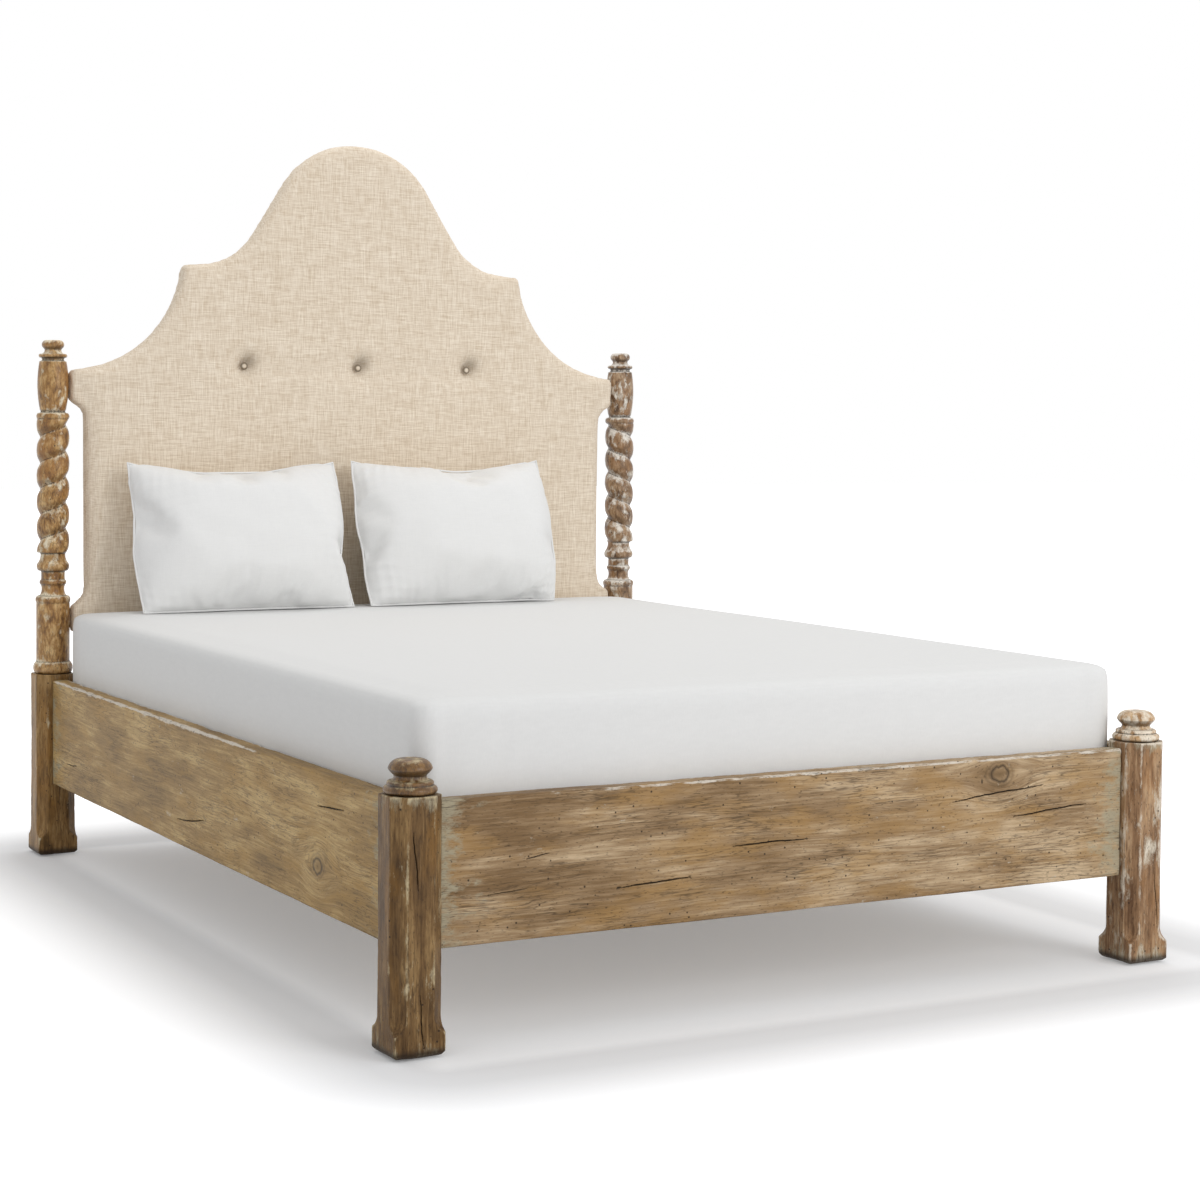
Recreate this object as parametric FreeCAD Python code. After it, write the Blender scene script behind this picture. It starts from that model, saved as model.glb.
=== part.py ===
import FreeCAD, Part
import math
import os

# Poster bed with an upholstered headboard, in millimetres.
# X runs across the bed, Y from the foot (-Y) to the head (+Y), Z up.
# The origin is on the floor, midway between the four posts.

# Mattress and the room that the frame leaves round it
mattress_width = 1552.0
mattress_length = 2070.0
mattress_thickness = 305.0
mattress_side_gap = 4.0
mattress_foot_gap = 10.0
mattress_head_gap = 12.0
mattress_corner_radius = 36.0
mattress_crown = 7.0
mattress_edge_roll = 18.0
mattress_foot_roll = 16.0
sheet_thickness = 1.2
sheet_tuck = 150.0

# Square legs under all four posts
leg_side = 98.0
leg_top = 449.0
leg_chamfer = 23.0
chamfer_stop_start = 44.0
chamfer_stop_length = 26.0
leg_foot_bevel = 6.0
glide_diameter = 46.0
glide_proud = 3.0
glide_let_in = 2.0

# Turned lengths of the head posts, from the leg upwards
post_dowel_diameter = 26.0
post_dowel_length = 42.0
dowel_end_gap = 2.0
collar_height = 27.0
collar_diameter = 97.0
column_height = 146.0
column_diameter = 82.0
base_ring_height = 19.0
base_ring_diameter = 86.0
lower_neck_height = 27.0
lower_neck_diameter = 56.0
small_bead_height = 13.0
small_bead_diameter = 66.0
upper_neck_height = 22.0
upper_neck_diameter = 58.0
twist_bead_height = 21.0
twist_bead_diameter = 80.0
twist_fillet_height = 24.0
twist_fillet_diameter = 62.0
twist_height = 329.0
twist_diameter = 80.0
twist_crease_depth = 9.5
twist_pitch = 64.0
top_ring_height = 17.0
top_ring_diameter = 81.0
vase_neck_height = 7.0
vase_neck_diameter = 60.0
vase_height = 121.0
vase_diameter = 76.0
vase_foot_diameter = 64.0
vase_shoulder_diameter = 66.0
cap_lower_neck_height = 8.0
cap_lower_neck_diameter = 54.0
cap_ring_height = 10.0
cap_ring_diameter = 70.0
cap_upper_neck_height = 12.0
cap_upper_neck_diameter = 42.0
cap_height = 21.0
cap_diameter = 55.0
cap_crown_diameter = 22.0
bead_root_share = 0.9

# Turned finials on the foot posts
finial_collar_height = 14.0
finial_collar_diameter = 95.0
finial_bead_height = 9.0
finial_bead_diameter = 82.0
finial_neck_height = 9.0
finial_neck_diameter = 58.0
knob_under_height = 11.0
knob_dome_height = 17.0
knob_diameter = 78.0
knob_crown_diameter = 34.0

# Plank rails
rail_thickness = 40.0
rail_height = 258.0
rail_setback = 33.0
rail_top_drop = 13.0
rail_end_gap = 0.5
rail_arris = 3.0
tenon_thickness = 16.0
tenon_height = 180.0
tenon_screw_wall = 7.0
tenon_clearance = 0.2
mortise_end_gap = 2.0

# Hook plates that hang the side rails on the legs
plate_width = 20.0
plate_height = 150.0
plate_thickness = 3.0
hook_thickness = 4.0
hook_neck_height = 14.0
hook_drop = 10.0
hook_tip_depth = 4.0
hook_spacing = 62.0
hook_clearance = 0.5
plate_screw_inset = 9.0

# Screws
screw_diameter = 4.5
screw_head_diameter = 9.0
screw_head_height = 2.6
plate_screw_length = 35.0
ledger_screw_length = 52.0
slat_screw_length = 40.0
cleat_screw_length = 58.0

# Slat deck
slat_top_drop = 137.0
slat_count = 12
slat_width = 90.0
slat_thickness = 19.0
slat_end_gap = 3.0
slat_leg_gap = 4.0
ledger_width = 32.0
ledger_height = 32.0
ledger_leg_gap = 15.0
ledger_screw_count = 6
ledger_screw_margin = 120.0

# Centre beam with its cleats, legs and levelling feet
beam_width = 40.0
beam_height = 60.0
beam_end_gap = 1.0
cleat_width = 120.0
cleat_depth = 40.0
cleat_height = 40.0
cleat_screw_inset = 28.0
centre_leg_side = 45.0
centre_leg_spacing = 560.0
centre_bolt_diameter = 8.0
centre_bolt_head_diameter = 18.0
centre_bolt_head_height = 4.0
centre_bolt_grip = 45.0
leveller_pad_diameter = 38.0
leveller_pad_height = 6.0
leveller_stem_diameter = 8.0
leveller_stem_length = 40.0
leveller_running_gap = 0.35
leveller_travel = 10.0
leveller_head_room = 2.0
insert_flange_diameter = 22.0
insert_flange_thickness = 2.0
insert_barrel_diameter = 12.0
insert_barrel_length = 16.0

# Upholstered headboard
headboard_front_offset = 34.0
cover_thickness = 1.5
pad_thickness = 24.0
pad_edge_wrap = 8.0
core_thickness = 20.0
back_cover_thickness = 1.0
back_cover_inset = 7.0
headboard_side_gap = 78.0
headboard_edge_round = 11.0
upper_ear_height = 81.0
lower_ear_height = 69.0
lower_ear_drop = 5.0
ear_sweep_rise = 40.0
ear_corner = 14.0
ear_post_gap = 0.5
shoulder_flat = 42.0
shoulder_rise = 271.0
sweep_sag = 77.0
shoulder_corner = 16.0
ogee_straight = 155.0
valley_radius = 175.0
crest_rise = 328.0
crest_radius = 238.0
headboard_dowel_diameter = 12.0
headboard_dowel_grip = 30.0

# Buttoned tufts
button_spacing = 315.0
button_row_rise = 16.0
button_diameter = 20.0
button_rim_height = 3.0
button_dome_height = 3.5
tuft_radius = 44.0
tuft_depth = 9.0
tuft_floor_margin = 1.0
tuft_cord_diameter = 2.0
tuft_bore_diameter = 6.0
anchor_diameter = 24.0
anchor_thickness = 2.0

# Pillows
pillow_width = 562.0
pillow_height = 400.0
pillow_crown = 82.0
pillow_side_draw = 26.0
pillow_end_draw = 20.0
pillow_lean_degrees = 20.0
pillow_gap = 38.0
pillow_pair_shift = -76.0
pillow_crown_shares = (0.0, 0.34, 0.62, 0.865, 0.97, 1.0)
pillow_spread_shares = (1.0, 0.96, 0.86, 0.66, 0.46, 0.26)
pillow_draw_shares = (1.0, 0.55, 0.08, -0.7, -1.0, -0.9)

# Shared allowances
soft_clearance = 0.3
cut_overrun = 5.0
same_point = 1e-6
surface_step = 0.4

# Places worked out from the sizes above
rail_outer_offset = leg_side / 2 - rail_setback
rail_inner_offset = rail_thickness - rail_outer_offset
rail_centre_offset = rail_outer_offset - rail_thickness / 2
post_x = mattress_width / 2 + mattress_side_gap + rail_inner_offset
bed_room = mattress_foot_gap + mattress_length + mattress_head_gap
post_y = (bed_room + rail_inner_offset + headboard_front_offset) / 2
leg_face_x = post_x - leg_side / 2
leg_face_y = post_y - leg_side / 2
tenon_length = leg_side / 2 + rail_centre_offset - mortise_end_gap - tenon_screw_wall
rail_top = leg_top - rail_top_drop
rail_bottom = rail_top - rail_height
rail_middle = rail_bottom + rail_height / 2
inner_x = post_x - rail_inner_offset
inner_y = post_y - rail_inner_offset
slat_top = rail_top - slat_top_drop
slat_bottom = slat_top - slat_thickness
beam_bottom = slat_bottom - beam_height
centre_leg_lift = (leveller_pad_height + leveller_travel + leveller_head_room
                   + insert_flange_thickness)
sheet_bottom = slat_top + soft_clearance
mattress_bottom = sheet_bottom + sheet_thickness
mattress_top = mattress_bottom + mattress_thickness
sheet_top = mattress_top + sheet_thickness
mattress_middle_y = -inner_y + mattress_foot_gap + mattress_length / 2
column_top = leg_top + collar_height + column_height
twist_bottom = (column_top + base_ring_height + lower_neck_height + small_bead_height
                + upper_neck_height + twist_bead_height + twist_fillet_height)
twist_top = twist_bottom + twist_height
vase_bottom = twist_top + top_ring_height + vase_neck_height
headboard_front = post_y - headboard_front_offset
pad_front = headboard_front + cover_thickness
core_front = pad_front + pad_thickness
headboard_back = core_front + core_thickness
core_middle = core_front + core_thickness / 2
upper_ear_bottom = vase_bottom + (vase_height - upper_ear_height) / 2
upper_ear_top = upper_ear_bottom + upper_ear_height
lower_ear_top = column_top - lower_ear_drop
headboard_bottom = lower_ear_top - lower_ear_height
upper_ear_end = post_x - vase_diameter / 2 - ear_post_gap
lower_ear_end = post_x - column_diameter / 2 - ear_post_gap
button_row = upper_ear_top + button_row_rise
ogee_rise = valley_radius + crest_radius - crest_rise
valley_half_width = math.sqrt((valley_radius + crest_radius) ** 2 + ogee_straight ** 2
                              - ogee_rise ** 2)
shoulder_half_width = valley_half_width + shoulder_flat

LEFT, RIGHT = -1, 1
FOOT, HEAD = -1, 1
SIDE_NAMES = {LEFT: "left", RIGHT: "right"}
END_NAMES = {FOOT: "foot", HEAD: "head"}
CORNERS = [(side, end) for end in (FOOT, HEAD) for side in (LEFT, RIGHT)]

V = FreeCAD.Vector
X_AXIS = V(1, 0, 0)
Y_AXIS = V(0, 1, 0)
Z_AXIS = V(0, 0, 1)


def box(x_pair, y_pair, z_pair):
    """A block between two values on each axis, given in either order."""
    low = V(min(x_pair), min(y_pair), min(z_pair))
    high = V(max(x_pair), max(y_pair), max(z_pair))
    size = high - low
    return Part.makeBox(size.x, size.y, size.z, low)


def around(centre, width):
    """The two values half a width either side of a centre."""
    return (centre - width / 2, centre + width / 2)


def rod(diameter, start, end):
    """A round rod between two points."""
    run = end - start
    return Part.makeCylinder(diameter / 2, run.Length, start, run)


def line(start, end):
    """A straight edge."""
    return Part.LineSegment(start, end).toShape()


def arc(start, middle, end):
    """A round edge through three points."""
    return Part.Arc(start, middle, end).toShape()


def one_solid(shape):
    """The single solid of a Boolean result, with split faces joined."""
    return shape.removeSplitter().Solids[0]


def group(solids):
    """Separate solids that share one node."""
    return Part.makeCompound(solids)


def long_edges(shape, direction):
    """The straight edges of a shape that run along a direction."""
    found = []
    for edge in shape.Edges:
        run = edge.Vertexes[-1].Point - edge.Vertexes[0].Point
        if run.Length > same_point and abs(run.dot(direction)) > (1 - same_point) * run.Length:
            found.append(edge)
    return found


# Fasteners

def screw(head_point, direction, length):
    """A countersunk wood screw whose head lies flush at a point."""
    along = V(direction).normalize()
    head = Part.makeCone(screw_head_diameter / 2, screw_diameter / 2, screw_head_height,
                         head_point, along)
    shank = rod(screw_diameter, head_point + along * screw_head_height, head_point + along * length)
    return one_solid(head.fuse(shank))


# Turned work

def turned(bottom, lengths):
    """Revolve a stack of turned lengths.

    Each length is its height and its lower, middle and upper diameters.
    """
    edges = []
    here = V(0, 0, bottom)
    for height, lower, middle, upper in lengths:
        start = V(lower / 2, 0, here.z)
        waist = V(middle / 2, 0, here.z + height / 2)
        end = V(upper / 2, 0, here.z + height)
        if (start - here).Length > same_point:
            edges.append(line(here, start))
        straight = abs(middle - (lower + upper) / 2) < same_point
        edges.append(line(start, end) if straight else arc(start, waist, end))
        here = end
    edges.append(line(here, V(0, 0, here.z)))
    edges.append(line(V(0, 0, here.z), V(0, 0, bottom)))
    return Part.Face(Part.Wire(edges)).revolve(V(0, 0, 0), Z_AXIS, 360)


def plain(height, diameter):
    """A straight turned length."""
    return (height, diameter, diameter, diameter)


def bead(height, diameter):
    """A turned length that swells to a round."""
    root = diameter * bead_root_share
    return (height, root, diameter, root)


def cove(height, lower, waist, upper):
    """A turned length hollowed between two diameters."""
    return (height, lower, waist, upper)


def post_dowel():
    """The turned pin under a post or finial."""
    return plain(post_dowel_length, post_dowel_diameter)


def twist():
    """The one-start barley twist: a section with one crease, turned as it rises."""
    lobe_radius = ((twist_pitch / 2) ** 2 + twist_crease_depth ** 2) / (2 * twist_crease_depth)

    def section_point(turn_share):
        rise = twist_pitch * (turn_share - 1 / 2)
        radius = twist_diameter / 2 - lobe_radius + math.sqrt(lobe_radius ** 2 - rise ** 2)
        angle = 2 * math.pi * turn_share
        return V(radius * math.cos(angle), radius * math.sin(angle), twist_bottom)

    arc_count = 3
    arcs = []
    for index in range(arc_count):
        turn_shares = [(index + part / 2) / arc_count for part in range(3)]
        arcs.append(arc(*[section_point(share) for share in turn_shares]))
    spine = Part.Wire([line(V(0, 0, twist_bottom), V(0, 0, twist_top))])
    helix = Part.makeHelix(twist_pitch, twist_height, twist_diameter / 2)
    helix.translate(V(0, 0, twist_bottom))
    sweep = Part.BRepOffsetAPI.MakePipeShell(spine)
    sweep.setAuxiliarySpine(Part.Wire(helix.Edges), True, 0)
    sweep.add(Part.Wire(arcs))
    sweep.build()
    sweep.makeSolid()
    return sweep.shape()


def head_turning(side):
    """A turned head post on its dowel; the right one is the mirror of the left."""
    lower = turned(leg_top - post_dowel_length, [
        post_dowel(),
        bead(collar_height, collar_diameter),
        plain(column_height, column_diameter),
        bead(base_ring_height, base_ring_diameter),
        cove(lower_neck_height, small_bead_diameter, lower_neck_diameter,
             small_bead_diameter * bead_root_share),
        bead(small_bead_height, small_bead_diameter),
        cove(upper_neck_height, upper_neck_diameter, upper_neck_diameter,
             upper_neck_diameter),
        bead(twist_bead_height, twist_bead_diameter),
        cove(twist_fillet_height, twist_bead_diameter * bead_root_share, twist_fillet_diameter,
             twist_fillet_diameter),
    ])
    upper = turned(twist_top, [
        bead(top_ring_height, top_ring_diameter),
        plain(vase_neck_height, vase_neck_diameter),
        (vase_height, vase_foot_diameter, vase_diameter, vase_shoulder_diameter),
        plain(cap_lower_neck_height, cap_lower_neck_diameter),
        bead(cap_ring_height, cap_ring_diameter),
        cove(cap_upper_neck_height, cap_lower_neck_diameter, cap_upper_neck_diameter,
             cap_upper_neck_diameter),
        (cap_height, cap_upper_neck_diameter, cap_diameter, cap_crown_diameter),
    ])
    post = lower.fuse([twist(), upper]).Solids[0]
    if side == RIGHT:
        post = post.mirror(V(0, 0, 0), X_AXIS)
    post.translate(V(side * post_x, post_y, 0))
    for dowel in headboard_dowel_rods(side):
        post = post.cut(dowel)
    return post.Solids[0]


def foot_finial(side):
    """A turned mushroom knob on its dowel."""
    knob = turned(leg_top - post_dowel_length, [
        post_dowel(),
        bead(finial_collar_height, finial_collar_diameter),
        bead(finial_bead_height, finial_bead_diameter),
        cove(finial_neck_height, finial_bead_diameter * bead_root_share, finial_neck_diameter,
             finial_neck_diameter),
        (knob_under_height, finial_neck_diameter, knob_diameter * bead_root_share, knob_diameter),
        (knob_dome_height, knob_diameter, knob_diameter * bead_root_share, knob_crown_diameter),
    ])
    knob.translate(V(side * post_x, -post_y, 0))
    return knob


# Legs

def chamfer_cutter(side, end, corner_x, corner_y):
    """What is planed off one corner of a leg, running out in a curve above the foot."""
    inward = V(-corner_x, -corner_y, 0).normalize()
    across = V(corner_y, -corner_x, 0).normalize()
    depth = leg_chamfer / math.sqrt(2)
    stop_radius = (depth ** 2 + chamfer_stop_length ** 2) / (2 * depth)
    half_turn = math.acos((stop_radius - depth) / stop_radius) / 2
    stop_end = chamfer_stop_start + chamfer_stop_length
    corner = V(side * post_x + corner_x * leg_side / 2, end * post_y + corner_y * leg_side / 2, 0)

    def at(inset, height):
        return corner + inward * inset + Z_AXIS * height - across * leg_side

    stop_middle = at(depth - stop_radius + stop_radius * math.cos(half_turn),
                     stop_end - stop_radius * math.sin(half_turn))
    above = leg_top + cut_overrun
    outline = Part.Wire([
        line(at(-cut_overrun, chamfer_stop_start), at(0, chamfer_stop_start)),
        arc(at(0, chamfer_stop_start), stop_middle, at(depth, stop_end)),
        line(at(depth, stop_end), at(depth, above)),
        line(at(depth, above), at(-cut_overrun, above)),
        line(at(-cut_overrun, above), at(-cut_overrun, chamfer_stop_start)),
    ])
    return Part.Face(outline).extrude(across * leg_side * 2)


def leg(side, end):
    """A square leg with stopped chamfers, bored and mortised for what joins it."""
    x, y = side * post_x, end * post_y
    body = box(around(x, leg_side), around(y, leg_side), (glide_proud, leg_top))
    sole = [edge for edge in body.Edges if edge.BoundBox.ZMax < glide_proud + same_point]
    body = body.makeChamfer(leg_foot_bevel, sole)
    cutters = [chamfer_cutter(side, end, corner_x, corner_y)
               for corner_x in (-1, 1) for corner_y in (-1, 1)]
    cutters.append(rod(post_dowel_diameter, V(x, y, leg_top - post_dowel_length - dowel_end_gap),
                       V(x, y, leg_top + cut_overrun)))
    cutters.append(glide(side, end))
    cutters.append(mortise(side, end))
    cutters.append(slot_plate_blank(side, end))
    cutters.extend(hook_pockets(side, end))
    cutters.extend(slot_plate_screws(side, end))
    return one_solid(body.cut(cutters))


def glide(side, end):
    """A round nylon glide let into the sole of a leg."""
    x, y = side * post_x, end * post_y
    return rod(glide_diameter, V(x, y, 0), V(x, y, glide_proud + glide_let_in))


# Rails

def cross_rail_centre(end):
    """The middle of the foot or head rail's thickness, along Y."""
    return end * (post_y + rail_centre_offset)


def mortise(side, end):
    """The pocket in a leg for the tenon of the foot or head rail."""
    reach = (leg_face_x - cut_overrun, leg_face_x + tenon_length + mortise_end_gap)
    return box([side * value for value in reach],
               around(cross_rail_centre(end), tenon_thickness + 2 * tenon_clearance),
               around(rail_middle, tenon_height + 2 * tenon_clearance))


def plank(x_pair, y_pair, run):
    """A rail plank with worn long edges."""
    body = box(x_pair, y_pair, (rail_bottom, rail_top))
    return body.makeFillet(rail_arris, long_edges(body, run))


def cross_rail(end):
    """The foot or head rail with its two tenons."""
    shoulder = leg_face_x - rail_end_gap
    body = plank((-shoulder, shoulder), around(cross_rail_centre(end), rail_thickness), X_AXIS)
    tenon_end = leg_face_x + tenon_length
    tenons = box((-tenon_end, tenon_end), around(cross_rail_centre(end), tenon_thickness),
                 around(rail_middle, tenon_height))
    body = body.fuse(tenons)
    return one_solid(body.cut(cleat_screws(end)))


def side_rail_centre(side):
    """The middle of a side rail's thickness, along X."""
    return side * (post_x + rail_centre_offset)


def side_rail(side):
    """A side rail, let in for its hook plates and pierced by its screws."""
    shoulder = leg_face_y - rail_end_gap
    body = plank(around(side_rail_centre(side), rail_thickness), (-shoulder, shoulder), Y_AXIS)
    cutters = []
    for end in (FOOT, HEAD):
        cutters.append(hook_plate_blank(side, end))
        cutters.extend(hook_plate_screws(side, end))
    cutters.extend(ledger_screws(side))
    return one_solid(body.cut(cutters))


# Rail hooks

def hook_heights():
    """The undersides of the two hook necks."""
    return [height - hook_neck_height / 2 for height in around(rail_middle, hook_spacing)]


def plate_screw_heights():
    """The screws near the top and bottom of a plate."""
    return around(rail_middle, plate_height - 2 * plate_screw_inset)


def hook_plate_blank(side, end):
    """The flat of a hook plate, flush with the end of a side rail."""
    face = leg_face_y - rail_end_gap
    return box(around(side_rail_centre(side), plate_width),
               (end * face, end * (face - plate_thickness)),
               around(rail_middle, plate_height))


def hook_plate_screws(side, end):
    """Two screws through a hook plate into the rail."""
    face = V(side_rail_centre(side), end * (leg_face_y - rail_end_gap), 0)
    return [screw(face + Z_AXIS * height, Y_AXIS * -end, plate_screw_length)
            for height in plate_screw_heights()]


def hook_plate(side, end):
    """A steel plate with two hooks that drop behind the leg's slot plate."""
    body = hook_plate_blank(side, end)
    width = around(side_rail_centre(side), hook_thickness)
    neck_end = leg_face_y + plate_thickness + hook_clearance
    hooks = []
    for height in hook_heights():
        hooks.append(box(width, (end * (leg_face_y - rail_end_gap), end * neck_end),
                         (height, height + hook_neck_height)))
        hooks.append(box(width, (end * neck_end, end * (neck_end + hook_tip_depth)),
                         (height - hook_drop, height + hook_neck_height)))
    body = body.fuse(hooks)
    return one_solid(body.cut(hook_plate_screws(side, end)))


def slot_plate_blank(side, end):
    """The flat of a slot plate, flush with the face of a leg."""
    return box(around(side_rail_centre(side), plate_width),
               (end * leg_face_y, end * (leg_face_y + plate_thickness)),
               around(rail_middle, plate_height))


def slot_plate_screws(side, end):
    """Two screws through a slot plate into the leg."""
    face = V(side_rail_centre(side), end * leg_face_y, 0)
    return [screw(face + Z_AXIS * height, Y_AXIS * end, plate_screw_length)
            for height in plate_screw_heights()]


def slot_plate(side, end):
    """A steel plate with two slots that take the hooks of a side rail."""
    cutters = list(slot_plate_screws(side, end))
    for height in hook_heights():
        cutters.append(box(around(side_rail_centre(side), hook_thickness + 2 * hook_clearance),
                           (end * (leg_face_y - cut_overrun),
                            end * (leg_face_y + plate_thickness + cut_overrun)),
                           (height, height + hook_neck_height + hook_drop + hook_clearance)))
    return one_solid(slot_plate_blank(side, end).cut(cutters))


def hook_pockets(side, end):
    """Room in a leg behind its slot plate for the hook tips to drop."""
    depth = plate_thickness + hook_clearance + hook_tip_depth + hook_clearance
    return [box(around(side_rail_centre(side), hook_thickness + 2 * hook_clearance),
                (end * leg_face_y, end * (leg_face_y + depth)),
                (height - hook_drop - hook_clearance,
                 height + hook_neck_height + hook_drop + hook_clearance))
            for height in hook_heights()]


# Slat deck

def slat_rows():
    """The middle of each slat, along Y."""
    first = slat_leg_gap + slat_width / 2 - leg_face_y
    step = -2 * first / (slat_count - 1)
    return [first + step * index for index in range(slat_count)]


def ledger_centre(side):
    """The middle of a ledger's width, along X."""
    return side * (inner_x - ledger_width / 2)


def ledger_screws(side):
    """Screws through a ledger into its side rail."""
    reach = leg_face_y - ledger_leg_gap - ledger_screw_margin
    step = 2 * reach / (ledger_screw_count - 1)
    face = V(side * (inner_x - ledger_width), 0, slat_bottom - ledger_height / 2)
    return [screw(face + Y_AXIS * (step * index - reach), X_AXIS * side, ledger_screw_length)
            for index in range(ledger_screw_count)]


def slat_screws(row):
    """The two screws of a slat, one into each ledger."""
    return [screw(V(ledger_centre(side), row, slat_top), -Z_AXIS, slat_screw_length)
            for side in (LEFT, RIGHT)]


def ledger(side):
    """A batten along a side rail that carries the slats."""
    length = 2 * (leg_face_y - ledger_leg_gap)
    body = box(around(ledger_centre(side), ledger_width), around(0, length),
               (slat_bottom - ledger_height, slat_bottom))
    cutters = ledger_screws(side)
    for row in slat_rows():
        cutters.extend(slat_screws(row))
    return one_solid(body.cut(cutters))


def slat(row):
    """One slat, screwed down at both ends."""
    body = box(around(0, 2 * (inner_x - slat_end_gap)), around(row, slat_width),
               (slat_bottom, slat_top))
    return one_solid(body.cut(slat_screws(row)))


# Centre beam

def cleat_screws(end):
    """Two screws through a beam cleat into the foot or head rail."""
    face = V(0, end * (inner_y - cleat_depth), beam_bottom - cleat_height / 2)
    return [screw(face + X_AXIS * offset, Y_AXIS * end, cleat_screw_length)
            for offset in around(0, cleat_width - 2 * cleat_screw_inset)]


def beam_cleat(end):
    """A block on the foot or head rail that carries the centre beam."""
    body = box(around(0, cleat_width), (end * inner_y, end * (inner_y - cleat_depth)),
               (beam_bottom - cleat_height, beam_bottom))
    return one_solid(body.cut(cleat_screws(end)))


def centre_bolt(row):
    """A bolt down through the beam into a centre leg."""
    head = rod(centre_bolt_head_diameter, V(0, row, slat_bottom - centre_bolt_head_height),
               V(0, row, slat_bottom))
    shank = rod(centre_bolt_diameter, V(0, row, beam_bottom - centre_bolt_grip),
                V(0, row, slat_bottom - centre_bolt_head_height))
    return one_solid(head.fuse(shank))


def centre_rows():
    """The two centre legs, along Y."""
    return {FOOT: -centre_leg_spacing / 2, HEAD: centre_leg_spacing / 2}


def centre_beam():
    """The beam under the middle of the slats."""
    body = box(around(0, beam_width), around(0, 2 * (inner_y - beam_end_gap)),
               (beam_bottom, slat_bottom))
    return one_solid(body.cut([centre_bolt(row) for row in centre_rows().values()]))


def leveller_insert(row):
    """A flanged threaded insert in the sole of a centre leg."""
    flange = rod(insert_flange_diameter, V(0, row, centre_leg_lift - insert_flange_thickness),
                 V(0, row, centre_leg_lift))
    barrel = rod(insert_barrel_diameter, V(0, row, centre_leg_lift),
                 V(0, row, centre_leg_lift + insert_barrel_length))
    return one_solid(flange.fuse(barrel).cut(leveller_bore(row)))


def leveller_bore(row):
    """The running room round a leveller's stem, over its whole travel."""
    top = leveller_pad_height + leveller_stem_length + leveller_travel + leveller_running_gap
    return rod(leveller_stem_diameter + 2 * leveller_running_gap, V(0, row, 0), V(0, row, top))


def centre_leg(row):
    """A square leg under the centre beam."""
    body = box(around(0, centre_leg_side), around(row, centre_leg_side),
               (centre_leg_lift, beam_bottom))
    barrel = rod(insert_barrel_diameter, V(0, row, 0),
                 V(0, row, centre_leg_lift + insert_barrel_length))
    return one_solid(body.cut([barrel, leveller_bore(row), centre_bolt(row)]))


def leveller(row):
    """A levelling foot: a pad on a threaded stem."""
    pad = rod(leveller_pad_diameter, V(0, row, 0), V(0, row, leveller_pad_height))
    stem = rod(leveller_stem_diameter, V(0, row, 0),
               V(0, row, leveller_pad_height + leveller_stem_length))
    return one_solid(pad.fuse(stem))


# Headboard

class OutlinePen:
    """Draws one half of the headboard's outline in the XZ plane, as tangent lines and arcs."""

    def __init__(self, x, z):
        self.here = V(x, 0, z)
        self.edges = []

    def line_to(self, x, z):
        """Draw a straight stretch."""
        end = V(x, 0, z)
        self.edges.append(line(self.here, end))
        self.here = end

    def arc_to(self, x, z, centre_x, centre_z):
        """Draw the shorter round stretch about a centre."""
        centre = V(centre_x, 0, centre_z)
        end = V(x, 0, z)
        radius = (end - centre).Length
        toward = ((self.here - centre) + (end - centre)).normalize()
        self.edges.append(arc(self.here, centre + toward * radius, end))
        self.here = end


def ear_sweep(ear_end, ear_edge, side_x, rise):
    """The hollow curve between an ear's end and the panel's side.

    Gives the curve's centre, its radius, and the centre of the rounded ear corner beside it.
    """
    width = ear_end - side_x
    radius = (width ** 2 + rise ** 2) / (2 * width)
    centre = V(side_x + radius, 0, ear_edge + rise)
    corner_x = ear_end - ear_corner
    drop = math.sqrt((radius + ear_corner) ** 2 - (corner_x - centre.x) ** 2)
    corner = V(corner_x, 0, centre.z - math.copysign(drop, rise))
    return centre, radius, corner


def toward_point(start, end, distance):
    """The point at a distance from start on the way to end."""
    return start + (end - start).normalize() * distance


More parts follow.
